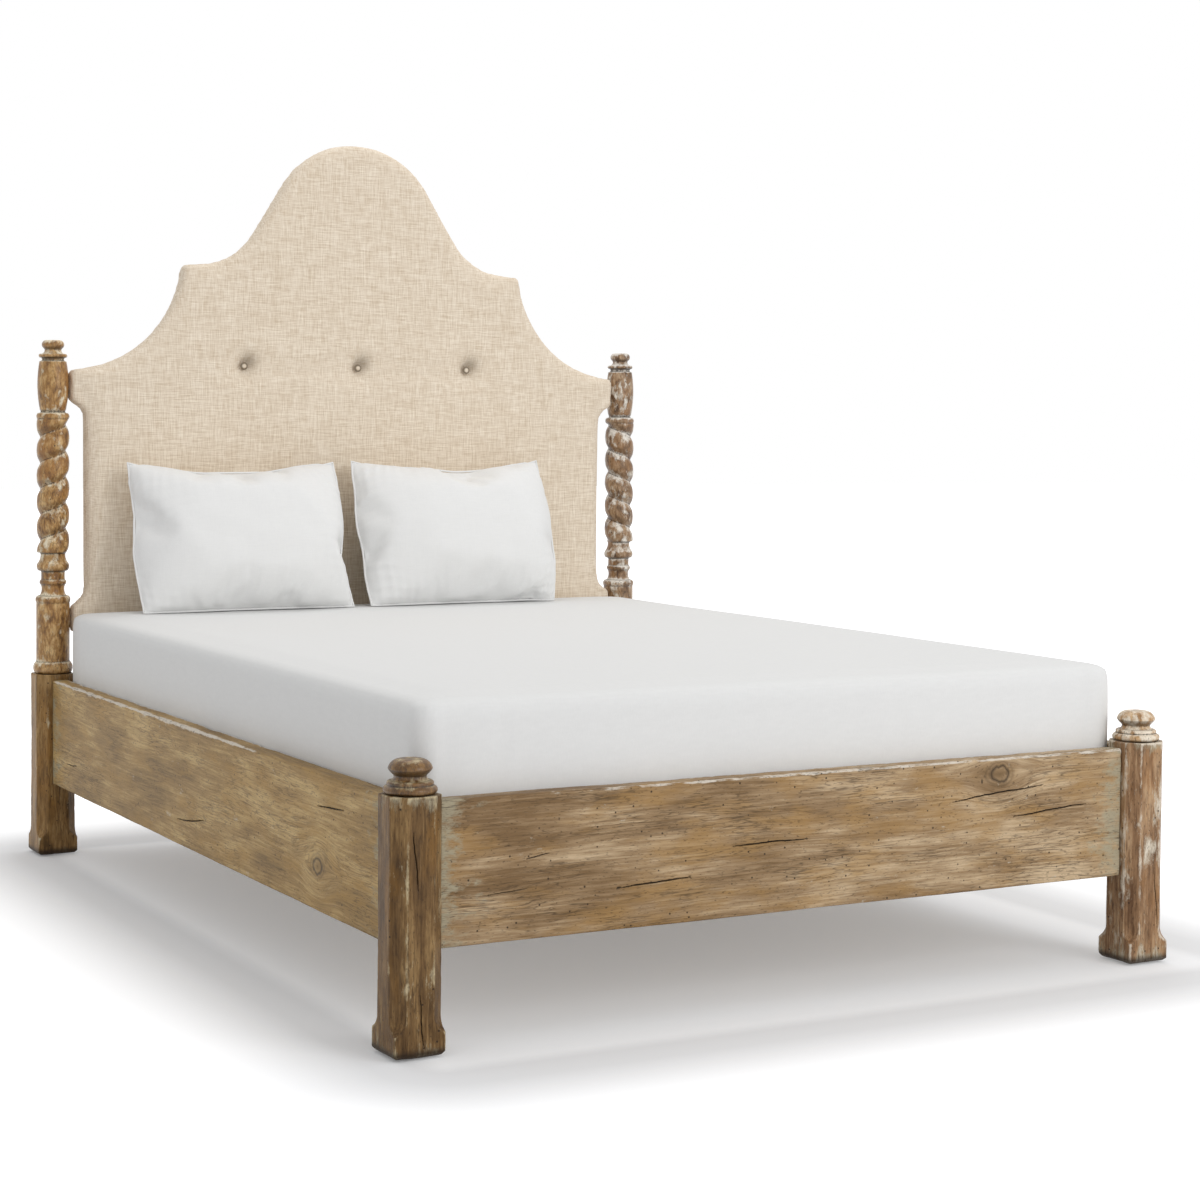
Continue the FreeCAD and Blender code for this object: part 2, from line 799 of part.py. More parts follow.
def headboard_wire():
    """The whole outline: ears, hollow sweeps, shoulders and an ogee up to the crest."""
    side_x = post_x - headboard_side_gap
    shoulder_z = upper_ear_top + shoulder_rise
    crest_z = shoulder_z + crest_rise

    low_centre, low_radius, low_corner = ear_sweep(lower_ear_end, lower_ear_top, side_x,
                                                   ear_sweep_rise)
    high_centre, high_radius, high_corner = ear_sweep(upper_ear_end, upper_ear_bottom, side_x,
                                                      -ear_sweep_rise)

    sweep_x = upper_ear_end - shoulder_half_width
    sweep_chord = math.hypot(sweep_x, shoulder_rise)
    sweep_radius = (sweep_chord ** 2 / 4 + sweep_sag ** 2) / (2 * sweep_sag)
    stand_off = (sweep_radius - sweep_sag) / sweep_chord
    sweep_centre = V(upper_ear_end - sweep_x / 2 + shoulder_rise * stand_off, 0,
                     upper_ear_top + shoulder_rise / 2 + sweep_x * stand_off)
    top_corner_x = upper_ear_end - ear_corner
    top_corner_drop = math.sqrt((sweep_radius + ear_corner) ** 2
                                - (sweep_centre.x - top_corner_x) ** 2)
    top_corner = V(top_corner_x, 0, sweep_centre.z - top_corner_drop)

    shoulder_z_centre = shoulder_z - shoulder_corner
    reach = math.sqrt((sweep_radius + shoulder_corner) ** 2
                      - (shoulder_z_centre - sweep_centre.z) ** 2)
    shoulder = V(sweep_centre.x - reach, 0, shoulder_z_centre)

    valley = V(valley_half_width, 0, shoulder_z + valley_radius)
    crest = V(0, 0, crest_z - crest_radius)
    apart = valley - crest
    tilt = math.atan2(apart.z, apart.x) + math.acos((crest_radius + valley_radius) / apart.Length)
    slope = V(math.cos(tilt), 0, math.sin(tilt))

    pen = OutlinePen(0, headboard_bottom)
    pen.line_to(lower_ear_end - ear_corner, headboard_bottom)
    pen.arc_to(lower_ear_end, headboard_bottom + ear_corner,
               lower_ear_end - ear_corner, headboard_bottom + ear_corner)
    pen.line_to(lower_ear_end, low_corner.z)
    touch = toward_point(low_centre, low_corner, low_radius)
    pen.arc_to(touch.x, touch.z, low_corner.x, low_corner.z)
    pen.arc_to(side_x, low_centre.z, low_centre.x, low_centre.z)
    pen.line_to(side_x, high_centre.z)
    touch = toward_point(high_centre, high_corner, high_radius)
    pen.arc_to(touch.x, touch.z, high_centre.x, high_centre.z)
    pen.arc_to(upper_ear_end, high_corner.z, high_corner.x, high_corner.z)
    pen.line_to(upper_ear_end, top_corner.z)
    touch = toward_point(sweep_centre, top_corner, sweep_radius)
    pen.arc_to(touch.x, touch.z, top_corner.x, top_corner.z)
    touch = toward_point(sweep_centre, shoulder, sweep_radius)
    pen.arc_to(touch.x, touch.z, sweep_centre.x, sweep_centre.z)
    pen.arc_to(shoulder.x, shoulder_z, shoulder.x, shoulder.z)
    pen.line_to(valley.x, shoulder_z)
    touch = valley - slope * valley_radius
    pen.arc_to(touch.x, touch.z, valley.x, valley.z)
    touch = crest + slope * crest_radius
    pen.line_to(touch.x, touch.z)
    pen.arc_to(0, crest_z, crest.x, crest.z)

    right_half = Part.Wire(pen.edges)
    left_half = right_half.mirror(V(0, 0, 0), X_AXIS)
    return Part.Wire(Part.__sortEdges__(right_half.Edges + left_half.Edges))


def headboard_blank(inset, front, back, edge_round):
    """The outline drawn in by an inset, as a block with a rounded front edge."""
    wire = headboard_wire()
    if inset > 0:
        wire = wire.makeOffset2D(-inset)
    wire.translate(V(0, front, 0))
    body = Part.Face(wire).extrude(Y_AXIS * (back - front))
    if edge_round > 0:
        rim = [edge for edge in body.Edges if edge.BoundBox.YMax < front + same_point]
        body = body.makeFillet(edge_round, rim)
    return body


def button_centres():
    """The three tufts in a row across the headboard."""
    return [V(offset * button_spacing, 0, button_row) for offset in (-1, 0, 1)]


def tuft_dimple(centre, depth_shift):
    """The hollow that a button pulls into the front, moved in by a depth."""
    floor_radius = button_diameter / 2 + tuft_floor_margin
    flare = tuft_radius - floor_radius
    flare_radius = (flare ** 2 + tuft_depth ** 2) / (2 * tuft_depth)
    half_turn = math.asin(flare / flare_radius) / 2
    front = headboard_front + depth_shift

    def at(radius, depth):
        return V(radius, front + depth, 0)

    middle = at(tuft_radius - flare_radius * math.sin(half_turn),
                flare_radius * (1 - math.cos(half_turn)))
    outline = Part.Wire([
        line(at(0, -cut_overrun), at(tuft_radius, -cut_overrun)),
        line(at(tuft_radius, -cut_overrun), at(tuft_radius, 0)),
        arc(at(tuft_radius, 0), middle, at(floor_radius, tuft_depth)),
        line(at(floor_radius, tuft_depth), at(0, tuft_depth)),
        line(at(0, tuft_depth), at(0, -cut_overrun)),
    ])
    hollow = Part.Face(outline).revolve(V(0, 0, 0), Y_AXIS, 360)
    hollow.translate(centre)
    return hollow


def tuft_bores():
    """The holes for the tuft cords, through cover, pad and core."""
    return [rod(tuft_bore_diameter, centre + Y_AXIS * headboard_front,
                centre + Y_AXIS * (headboard_back + cut_overrun)) for centre in button_centres()]


def headboard_dowel_rods(side):
    """The two dowels that join one end of the headboard to its post."""
    rods = []
    for ear_end, height in ((upper_ear_end, (upper_ear_bottom + upper_ear_top) / 2),
                            (lower_ear_end, (headboard_bottom + lower_ear_top) / 2)):
        inner = V(side * (ear_end - headboard_dowel_grip), core_middle, height)
        outer = V(side * (ear_end + headboard_dowel_grip), core_middle, height)
        rods.append(rod(headboard_dowel_diameter, inner, outer))
    return rods


def all_headboard_dowels():
    """The four headboard dowels."""
    return headboard_dowel_rods(LEFT) + headboard_dowel_rods(RIGHT)


def core_blank(back):
    """The panel's outline inside its wrapped edges, as a block up to a given back."""
    return headboard_blank(cover_thickness + pad_edge_wrap, core_front, back, 0)


def headboard_core():
    """The plywood panel."""
    body = core_blank(headboard_back)
    recesses = [tuft_anchor(centre) for centre in button_centres()]
    return one_solid(body.cut(tuft_bores() + recesses + all_headboard_dowels()))


def headboard_pad():
    """The foam on the front of the panel and round its edges, drawn in at the tufts."""
    body = headboard_blank(cover_thickness, pad_front, headboard_back - cover_thickness,
                           headboard_edge_round - cover_thickness)
    dimples = [tuft_dimple(centre, cover_thickness) for centre in button_centres()]
    return body.cut([core_blank(headboard_back)] + dimples + tuft_bores()
                    + all_headboard_dowels()).Solids[0]


def headboard_cover():
    """The linen over the pad, turned round its edges onto the back."""
    outside = headboard_blank(0, headboard_front, headboard_back, headboard_edge_round)
    outside = outside.cut([tuft_dimple(centre, 0) for centre in button_centres()])
    inside = headboard_blank(cover_thickness, pad_front, headboard_back - cover_thickness,
                             headboard_edge_round - cover_thickness)
    inside = inside.cut([tuft_dimple(centre, cover_thickness) for centre in button_centres()])
    open_back = core_blank(headboard_back + cut_overrun)
    return outside.cut([inside, open_back] + tuft_bores() + all_headboard_dowels()).Solids[0]


def headboard_back_cover():
    """The cloth stapled over the back of the panel."""
    return headboard_blank(back_cover_inset, headboard_back,
                           headboard_back + back_cover_thickness, 0)


def tuft_button(centre):
    """A covered button at the bottom of its tuft."""
    seat = centre + Y_AXIS * (headboard_front + tuft_depth)
    rim_radius = button_diameter / 2
    ball_radius = (rim_radius ** 2 + button_dome_height ** 2) / (2 * button_dome_height)
    rim = Part.makeCylinder(rim_radius, button_rim_height, seat, -Y_AXIS)
    ball_centre = seat - Y_AXIS * (button_rim_height + button_dome_height - ball_radius)
    ball = Part.makeSphere(ball_radius, ball_centre)
    bound = Part.makeCylinder(rim_radius, button_rim_height + button_dome_height + cut_overrun,
                              seat, -Y_AXIS)
    return one_solid(rim.fuse(ball.common(bound)))


def tuft_cord(centre):
    """The cord from a button to its anchor."""
    return rod(tuft_cord_diameter, centre + Y_AXIS * (headboard_front + tuft_depth),
               centre + Y_AXIS * (headboard_back - anchor_thickness))


def tuft_anchor(centre):
    """The washer that holds a tuft cord, let into the back of the panel."""
    return rod(anchor_diameter, centre + Y_AXIS * (headboard_back - anchor_thickness),
               centre + Y_AXIS * headboard_back)


# Bedding

def rounded_rectangle(half_x, half_y, radius, height):
    """A level outline with round corners, centred on the mattress."""
    edges = []
    inner_half_x = half_x - radius
    inner_half_y = half_y - radius
    diagonal = radius / math.sqrt(2)
    middle_y = mattress_middle_y

    def at(x, y):
        return V(x, middle_y + y, height)

    turns = ((1, -1), (1, 1), (-1, 1), (-1, -1))
    previous = at(-inner_half_x, -half_y)
    for sx, sy in turns:
        along_y_first = sx * sy < 0
        first = at(sx * inner_half_x, sy * half_y)
        last = at(sx * half_x, sy * inner_half_y)
        if not along_y_first:
            first, last = last, first
        edges.append(line(previous, first))
        edges.append(arc(first, at(sx * (inner_half_x + diagonal), sy * (inner_half_y + diagonal)),
                         last))
        previous = last
    return Part.Wire(edges)


def mattress_form(grow):
    """The mattress's rolled edges and crown, grown all round by an allowance."""
    bottom = mattress_bottom - grow
    top = mattress_top + grow
    half_x = mattress_width / 2 + grow
    half_y = mattress_length / 2 + grow
    root = math.sqrt(2)
    edge_top = top - mattress_crown
    sections = [
        (bottom, mattress_foot_roll),
        (bottom + mattress_foot_roll * (1 - 1 / root), mattress_foot_roll * (1 - 1 / root)),
        (bottom + mattress_foot_roll, 0),
        (edge_top - mattress_edge_roll, 0),
        (edge_top - mattress_edge_roll * (1 - 1 / root), mattress_edge_roll * (1 - 1 / root)),
        (edge_top, mattress_edge_roll),
        (top, mattress_edge_roll + mattress_corner_radius * 2),
    ]
    wires = [rounded_rectangle(half_x - inset, half_y - inset,
                               mattress_corner_radius + grow, height)
             for height, inset in sections]
    return Part.makeLoft(wires, True, True)


def mattress():
    """The mattress."""
    return mattress_form(0)


def fitted_sheet():
    """The sheet stretched over the mattress and tucked under its edges."""
    window = box(around(0, mattress_width - 2 * sheet_tuck),
                 around(mattress_middle_y, mattress_length - 2 * sheet_tuck),
                 (sheet_bottom - cut_overrun, mattress_bottom + cut_overrun))
    return mattress_form(sheet_thickness).cut([mattress_form(0), window]).Solids[0]


def pillow_section(spread, draw, height):
    """One outline through a pillow: pointed at the seam, with hollow sides, and round at the crown."""
    half_x = pillow_width / 2 * spread
    half_y = pillow_height / 2 * spread
    draw_x = pillow_end_draw * draw
    draw_y = pillow_side_draw * draw
    corners = [V(-half_x, -half_y, height), V(half_x, -half_y, height),
               V(half_x, half_y, height), V(-half_x, half_y, height)]
    middles = [V(0, draw_y - half_y, height), V(half_x - draw_x, 0, height),
               V(0, half_y - draw_y, height), V(draw_x - half_x, 0, height)]
    sides = [arc(corners[index], middles[index], corners[(index + 1) % len(corners)])
             for index in range(len(corners))]
    return Part.Wire(sides)


def pillow(side):
    """A stuffed pillow that stands on the sheet and leans on the headboard."""
    centre_x = pillow_pair_shift + side * (pillow_width + pillow_gap) / 2
    halves = []
    for face in (-1, 1):
        wires = [pillow_section(spread, draw, face * pillow_crown * rise)
                 for spread, draw, rise in zip(pillow_spread_shares, pillow_draw_shares,
                                               pillow_crown_shares)]
        halves.append(Part.makeLoft(wires, True, False))
    body = halves[0].fuse(halves[1]).Solids[0]
    body.rotate(V(0, 0, 0), X_AXIS, 90 - pillow_lean_degrees)
    points = body.tessellate(surface_step)[0]
    lowest = min(point.z for point in points)
    rearmost = max(point.y for point in points)
    body.translate(V(centre_x, headboard_front - soft_clearance - surface_step - rearmost,
                     sheet_top + soft_clearance + surface_step - lowest))
    return body


def build():
    """Every node by name, as one solid or a group of like solids."""
    nodes = {}
    for side, end in CORNERS:
        nodes[f"{END_NAMES[end]}_leg_{SIDE_NAMES[side]}"] = leg(side, end)
    for side in (LEFT, RIGHT):
        name = SIDE_NAMES[side]
        nodes[f"head_turning_{name}"] = head_turning(side)
        nodes[f"foot_finial_{name}"] = foot_finial(side)
        nodes[f"side_rail_{name}"] = side_rail(side)
        nodes[f"ledger_{name}"] = ledger(side)
    for end in (FOOT, HEAD):
        nodes[f"{END_NAMES[end]}_rail"] = cross_rail(end)
        nodes[f"beam_cleat_{END_NAMES[end]}"] = beam_cleat(end)
    nodes["leg_glides"] = group([glide(side, end) for side, end in CORNERS])
    nodes["rail_hook_plates"] = group([hook_plate(side, end) for side, end in CORNERS])
    nodes["rail_slot_plates"] = group([slot_plate(side, end) for side, end in CORNERS])
    nodes["hook_plate_screws"] = group(
        [item for side, end in CORNERS for item in hook_plate_screws(side, end)])
    nodes["slot_plate_screws"] = group(
        [item for side, end in CORNERS for item in slot_plate_screws(side, end)])
    nodes["ledger_screws"] = group(ledger_screws(LEFT) + ledger_screws(RIGHT))
    nodes["cleat_screws"] = group(cleat_screws(FOOT) + cleat_screws(HEAD))

    rows = slat_rows()
    for number, row in enumerate(rows, start=1):
        nodes[f"slat_{number:02d}"] = slat(row)
    nodes["slat_screws"] = group([item for row in rows for item in slat_screws(row)])

    nodes["centre_beam"] = centre_beam()
    for end, row in centre_rows().items():
        nodes[f"centre_leg_{END_NAMES[end]}"] = centre_leg(row)
        nodes[f"leveller_{END_NAMES[end]}"] = leveller(row)
    nodes["centre_leg_bolts"] = group([centre_bolt(row) for row in centre_rows().values()])
    nodes["leveller_inserts"] = group([leveller_insert(row) for row in centre_rows().values()])

    nodes["headboard_core"] = headboard_core()
    nodes["headboard_pad"] = headboard_pad()
    nodes["headboard_cover"] = headboard_cover()
    nodes["headboard_back_cover"] = headboard_back_cover()
    nodes["headboard_dowels"] = group(all_headboard_dowels())
    for name, centre in zip(("left", "centre", "right"), button_centres()):
        nodes[f"tuft_button_{name}"] = tuft_button(centre)
    nodes["tuft_cords"] = group([tuft_cord(centre) for centre in button_centres()])
    nodes["tuft_anchors"] = group([tuft_anchor(centre) for centre in button_centres()])

    nodes["mattress"] = mattress()
    nodes["fitted_sheet"] = fitted_sheet()
    for side in (LEFT, RIGHT):
        nodes[f"pillow_{SIDE_NAMES[side]}"] = pillow(side)
    return nodes


def main():
    """Write each node to its own file and list it."""
    os.makedirs("parts", exist_ok=True)
    for name, shape in build().items():
        shape.exportStep(f"parts/{name}.step")
        extent = shape.BoundBox
        print(f"{name}: {len(shape.Solids)} solid(s), valid {shape.isValid()}, "
              f"{shape.Volume / 1000:.1f} cm3, "
              f"x {extent.XMin:.1f}..{extent.XMax:.1f} y {extent.YMin:.1f}..{extent.YMax:.1f} "
              f"z {extent.ZMin:.1f}..{extent.ZMax:.1f}")


main()
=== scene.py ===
"""A poster bed: worn timber, a buttoned linen headboard, a made-up mattress and two pillows.

Fields that end in _mm are in millimetres. Meshes and node settings are in metres.
"""

import logging
import math
from dataclasses import dataclass
from enum import Enum
from functools import partial
from typing import Any, Callable, Optional, Sequence

import bmesh
import bpy
import numpy as np
from bmesh.types import BMesh
from bpy.types import Material, Mesh, Node, NodeSocket, NodeTree, Object
from mathutils import Euler, Matrix, Vector, noise


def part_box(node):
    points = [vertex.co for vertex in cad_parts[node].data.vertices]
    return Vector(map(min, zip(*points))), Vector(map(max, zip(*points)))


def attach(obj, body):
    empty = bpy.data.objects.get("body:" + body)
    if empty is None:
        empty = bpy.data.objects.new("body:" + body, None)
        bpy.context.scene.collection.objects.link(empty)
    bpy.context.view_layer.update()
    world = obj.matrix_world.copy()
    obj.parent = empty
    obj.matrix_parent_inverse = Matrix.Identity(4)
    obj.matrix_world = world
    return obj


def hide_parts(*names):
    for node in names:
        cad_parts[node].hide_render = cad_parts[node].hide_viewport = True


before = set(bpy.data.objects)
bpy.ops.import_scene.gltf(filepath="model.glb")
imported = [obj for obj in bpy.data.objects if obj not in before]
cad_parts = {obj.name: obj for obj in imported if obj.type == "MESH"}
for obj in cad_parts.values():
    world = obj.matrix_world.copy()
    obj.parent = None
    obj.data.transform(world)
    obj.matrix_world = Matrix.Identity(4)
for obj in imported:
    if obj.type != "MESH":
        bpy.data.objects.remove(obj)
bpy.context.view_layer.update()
MM = 0.001
WELD = 0.005 * MM
SEW = 0.05 * MM
NEAR = 0.1 * MM
WHITE = (1.0, 1.0, 1.0, 1.0)
# A Mix node's sockets between its factor and its two colours.
MIX_GAP = (None,) * 5
LOG = logging.getLogger("poster_bed")
Adder = Callable[..., Node]


class Grain(Enum):
    """The way the grain runs, as the turn in degrees that lays it along X."""

    ACROSS_BED = (0.0, 0.0, 0.0)
    ALONG_BED = (0.0, 0.0, -90.0)
    UPRIGHT = (0.0, 90.0, 0.0)

    @property
    def axis(self) -> int:
        """Give the row axis that the grain follows."""
        return {Grain.ACROSS_BED: 0, Grain.ALONG_BED: 1, Grain.UPRIGHT: 2}[self]

    @property
    def turn(self) -> Euler:
        """Give the turn in radians."""
        return Euler([math.radians(angle) for angle in self.value])


# ---------------------------------------------------------------- small helpers


def linear(hex_colour: str) -> tuple[float, float, float, float]:
    """Turn an sRGB hex colour to linear.

    Args:
        hex_colour: Six hex digits.

    Returns:
        Linear red, green, blue and an alpha of 1.
    """
    shares = [int(hex_colour[place:place + 2], 16) / 255 for place in (0, 2, 4)]
    red, green, blue = [
        share / 12.92 if share <= 0.04045 else ((share + 0.055) / 1.055) ** 2.4 for share in shares
    ]
    return red, green, blue, 1.0


def set_sockets(tree: NodeTree, node: Node, values: dict[Any, Any]) -> None:
    """Set a node's properties and sockets, and link what another node feeds.

    Args:
        tree: The node's tree.
        node: The node to set.
        values: Property names, socket names or socket numbers, each with a value, an output, or a node
            whose first output is meant; stops fills a ramp.
    """
    for key, value in values.items():
        if isinstance(value, Node):
            value = value.outputs[0]
        if isinstance(value, NodeSocket):
            tree.links.new(value, node.inputs[key])
        elif key == "stops":
            ramp = node.color_ramp
            while len(ramp.elements) < len(value):
                ramp.elements.new(1.0)
            for element, (place, colour) in zip(ramp.elements, value):
                element.position = place
                element.color = colour
        elif isinstance(key, int) or key in node.inputs:
            node.inputs[key].default_value = value
        else:
            setattr(node, key, value)


def add_node(tree: NodeTree, kind: str, *inputs: Any, **values: Any) -> Node:
    """Add a node with its settings and links.

    Args:
        tree: The tree that gets the node.
        kind: The node's type without its ShaderNode prefix, and its operation after a space.
        inputs: What the sockets take in order; None leaves one as it is.
        values: What the named sockets and properties take.

    Returns:
        The new node.
    """
    kind, _, operation = kind.partition(" ")
    node = tree.nodes.new("ShaderNode" + kind)
    if operation:
        node.operation = operation
    numbered = {number: value for number, value in enumerate(inputs) if value is not None}
    set_sockets(tree, node, {**values, **numbered})
    return node


def seen_rays(add: Adder) -> Node:
    """Mark the rays that the eye follows: straight, by reflection or through glass.

    Args:
        add: Adds a node to the tree.

    Returns:
        The mark, 0 or 1.
    """
    path = add("LightPath").outputs
    glossy = add("Math MAXIMUM", path["Is Camera Ray"], path["Is Glossy Ray"])
    return add("Math MAXIMUM", glossy, path["Is Transmission Ray"])


def per_mm(*sizes_mm: float) -> tuple[float, ...]:
    """Give the pattern scales, per metre, of features of these sizes."""
    return tuple(1 / (size * MM) for size in sizes_mm)


def stretched_noise(add: Adder, place: Any, sizes_mm: Sequence[float], detail: float, rough: float = 0.5) -> Node:
    """Draw noise with features of a given size along each axis.

    Args:
        add: Adds a node to the tree.
        place: The places, as a node or an output.
        sizes_mm: Sizes along X, Y and Z; without the third, Z has Y's.
        detail: How many finer layers it has.
        rough: How strong the finer layers are.

    Returns:
        The noise, with values round one half.
    """
    sizes = (*sizes_mm, sizes_mm[-1])[:3]
    scaled = add("VectorMath MULTIPLY", place, per_mm(*sizes))
    return add("TexNoise", Vector=scaled, Scale=1.0, Detail=detail, Roughness=rough)


def rows_of(values: Any, name: str) -> np.ndarray:
    """Read a vector of each of a mesh's vertices.

    Args:
        values: The mesh's vertices or vertex normals.
        name: The vector's name there.

    Returns:
        An array of rows.
    """
    flat = np.empty(len(values) * 3, np.float32)
    values.foreach_get(name, flat)
    return flat.reshape(-1, 3).astype(float)


def points_of(mesh: Mesh) -> np.ndarray:
    """Read a mesh's vertices as an array of rows."""
    return rows_of(mesh.vertices, "co")


def normals_of(mesh: Mesh) -> np.ndarray:
    """Read a mesh's vertex normals as an array of rows."""
    return rows_of(mesh.vertex_normals, "vector")


def move_points(mesh: Mesh, points: np.ndarray) -> None:
    """Write an array of rows back to a mesh's vertices."""
    mesh.vertices.foreach_set("co", points.astype(np.float32).ravel())
    mesh.update()


def ripple(points: np.ndarray, sizes_mm: float | Sequence[float], seed: float) -> np.ndarray:
    """Sample smooth noise, from about -1 to 1, with features of the given size.

    Args:
        points: Places in metres.
        sizes_mm: The features' size, or their sizes along X, Y and Z.
        seed: A shift that sets one sample of noise apart from another.

    Returns:
        One value for each place.
    """
    scaled = points / (np.array(sizes_mm) * MM) + seed
    return np.array([noise.noise(row) for row in scaled.tolist()])


def spread(mesh: Mesh, values: np.ndarray, rounds: int) -> np.ndarray:
    """Blur vertex values along the mesh's edges.

    Args:
        mesh: The mesh that the values belong to.
        values: One value, or one row, for each vertex.
        rounds: How often each vertex takes half of its neighbours' mean.

    Returns:
        The blurred values.
    """
    ends = np.empty(len(mesh.edges) * 2, np.int32)
    mesh.edges.foreach_get("vertices", ends)
    first, second = ends.reshape(-1, 2).T
    count = len(mesh.vertices)
    valence = np.maximum(np.bincount(ends, minlength=count), 1)
    columns = values.reshape(count, -1).T.copy()
    for _ in range(rounds):
        for column in columns:
            total = np.bincount(first, column[second], count) + np.bincount(second, column[first], count)
            column += 0.5 * (total / valence - column)
    return columns.T.reshape(values.shape)


def set_attribute(mesh: Mesh, name: str, values: np.ndarray) -> None:
    """Keep one number for each vertex where a material can read it."""
    layer = mesh.attributes.new(name, "FLOAT", "POINT")
    layer.data.foreach_set("value", values.astype(np.float32))


def link_piece(name: str, mesh: Mesh) -> Object:
    """Make a smooth-shaded object of a mesh, in the scene.

    Args:
        name: The piece's name, and its mesh's.
        mesh: The finished mesh.

    Returns:
        The object.
    """
    mesh.name = name
    mesh.shade_smooth()
    piece = bpy.data.objects.new(name, mesh)
    bpy.context.scene.collection.objects.link(piece)
    return piece


def new_piece(name: str, shape: BMesh) -> Object:
    """Make a smooth-shaded object of a bmesh and free the bmesh.

    Args:
        name: The piece's name.
        shape: The finished bmesh.

    Returns:
        The object, linked to the scene.
    """
    mesh = bpy.data.meshes.new(name)
    shape.to_mesh(mesh)
    shape.free()
    return link_piece(name, mesh)


def merged_copy(*nodes: str) -> BMesh:
    """Copy CAD nodes into one bmesh with their loose triangles merged.

    Args:
        nodes: The CAD nodes' names.

    Returns:
        The merged shape.
    """
    shape = bmesh.new()
    for node in nodes:
        shape.from_mesh(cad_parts[node].data)
    bmesh.ops.remove_doubles(shape, verts=shape.verts[:], dist=WELD)
    return shape


def finish_modifiers(piece: Object) -> None:
    """Turn a piece's modifiers into its mesh.

    Args:
        piece: The piece with modifiers.
    """
    graph = bpy.context.evaluated_depsgraph_get()
    baked = bpy.data.meshes.new_from_object(piece.evaluated_get(graph))
    old = piece.data
    piece.modifiers.clear()
    piece.data = baked
    bpy.data.meshes.remove(old)
    baked.shade_smooth()


def remesh(piece: Object, voxel_mm: float) -> None:
    """Give a piece an even skin of squares.

    Args:
        piece: The piece to change.
        voxel_mm: The squares' size.
    """
    skin = piece.modifiers.new("Even skin", "REMESH")
    skin.mode = "VOXEL"
    skin.voxel_size = voxel_mm * MM
    finish_modifiers(piece)


def refine(mesh: Mesh, near: Callable[[np.ndarray], np.ndarray], rounds: int) -> None:
    """Divide a mesh's faces where finer shapes will be cut.

    Args:
        mesh: The mesh to change.
        near: Marks the points that lie in the finer parts.
        rounds: How often the faces there are halved.
    """
    for _ in range(rounds):
        close = near(points_of(mesh))
        shape = bmesh.new()
        shape.from_mesh(mesh)
        edges = [edge for edge in shape.edges if close[edge.verts[0].index] and close[edge.verts[1].index]]
        bmesh.ops.subdivide_edges(shape, edges=edges, cuts=1, use_grid_fill=True)
        shape.to_mesh(mesh)
        shape.free()


def divide(piece: Object) -> None:
    """Halve a piece's faces smoothly.

    Args:
        piece: The piece to change.
    """
    smooth = piece.modifiers.new("Smooth", "SUBSURF")
    smooth.levels = smooth.render_levels = 1
    finish_modifiers(piece)


def inflate(piece: Object, pressure: float, frames: int, cap_mm: float, held: Sequence[int] = ()) -> None:
    """Swell a closed skin by air pressure and keep the result as its mesh.

    Args:
        piece: The skin.
        pressure: The air pressure inside.
        frames: How many steps the cloth is given.
        cap_mm: The furthest that a point may move.
        held: Vertices that stay where they are.
    """
    start = points_of(piece.data)
    fabric = {"quality": 6, "mass": 0.25, "tension_stiffness": 25, "compression_stiffness": 25,
              "shear_stiffness": 8, "bending_stiffness": 0.4, "air_damping": 2.0, "use_pressure": True,
              "uniform_pressure_force": pressure}
    if len(held):
        group = piece.vertex_groups.new(name="held")
        group.add([int(number) for number in held], 1.0, "REPLACE")
        fabric["vertex_group_mass"] = "held"
    cloth = piece.modifiers.new("Filling", "CLOTH")
    for name, value in fabric.items():
        setattr(cloth.settings, name, value)
    cloth.settings.effector_weights.gravity = 0.0
    cloth.point_cache.frame_start = 1
    cloth.point_cache.frame_end = frames
    for number in range(1, frames + 1):
        bpy.context.scene.frame_set(number)
    finish_modifiers(piece)
    bpy.context.scene.frame_set(1)
    moved = points_of(piece.data) - start
    reach = np.linalg.norm(moved, axis=1, keepdims=True)
    limit = np.minimum(1.0, cap_mm * MM / np.maximum(reach, 1e-9))
    move_points(piece.data, start + moved * limit)
    piece.vertex_groups.clear()


def dress(piece: Object, body: str, finish: "Finish") -> None:
    """Give a new piece its material and the body that it rides on.

    Args:
        piece: The finished piece.
        body: The CAD body's name.
        finish: The piece's finish.
    """
    piece.data.materials.clear()
    piece.data.materials.append(finish.material())
    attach(piece, body)
    LOG.info("%s: %d faces on %s", piece.name, len(piece.data.polygons), body)


# ---------------------------------------------------------------- finishes


@dataclass(frozen=True)
class Finish:
    """A real surface that becomes one material."""

    name: str

    def material(self) -> Material:
        """Give the finish's material, made on the first call.

        Returns:
            The material.
        """
        made = bpy.data.materials.get(self.name)
        if made is None:
            made = bpy.data.materials.new(self.name)
            made.use_nodes = True
            tree = made.node_tree
            set_sockets(tree, tree.nodes["Principled BSDF"], self.surface(partial(add_node, tree)))
        return made

    def surface(self, add: Adder) -> dict[str, Any]:
        """Draw the surface; each kind of finish has its own way.

        Args:
            add: Adds a node to the material's tree.

        Returns:
            What the shader's sockets take.
        """
        raise NotImplementedError


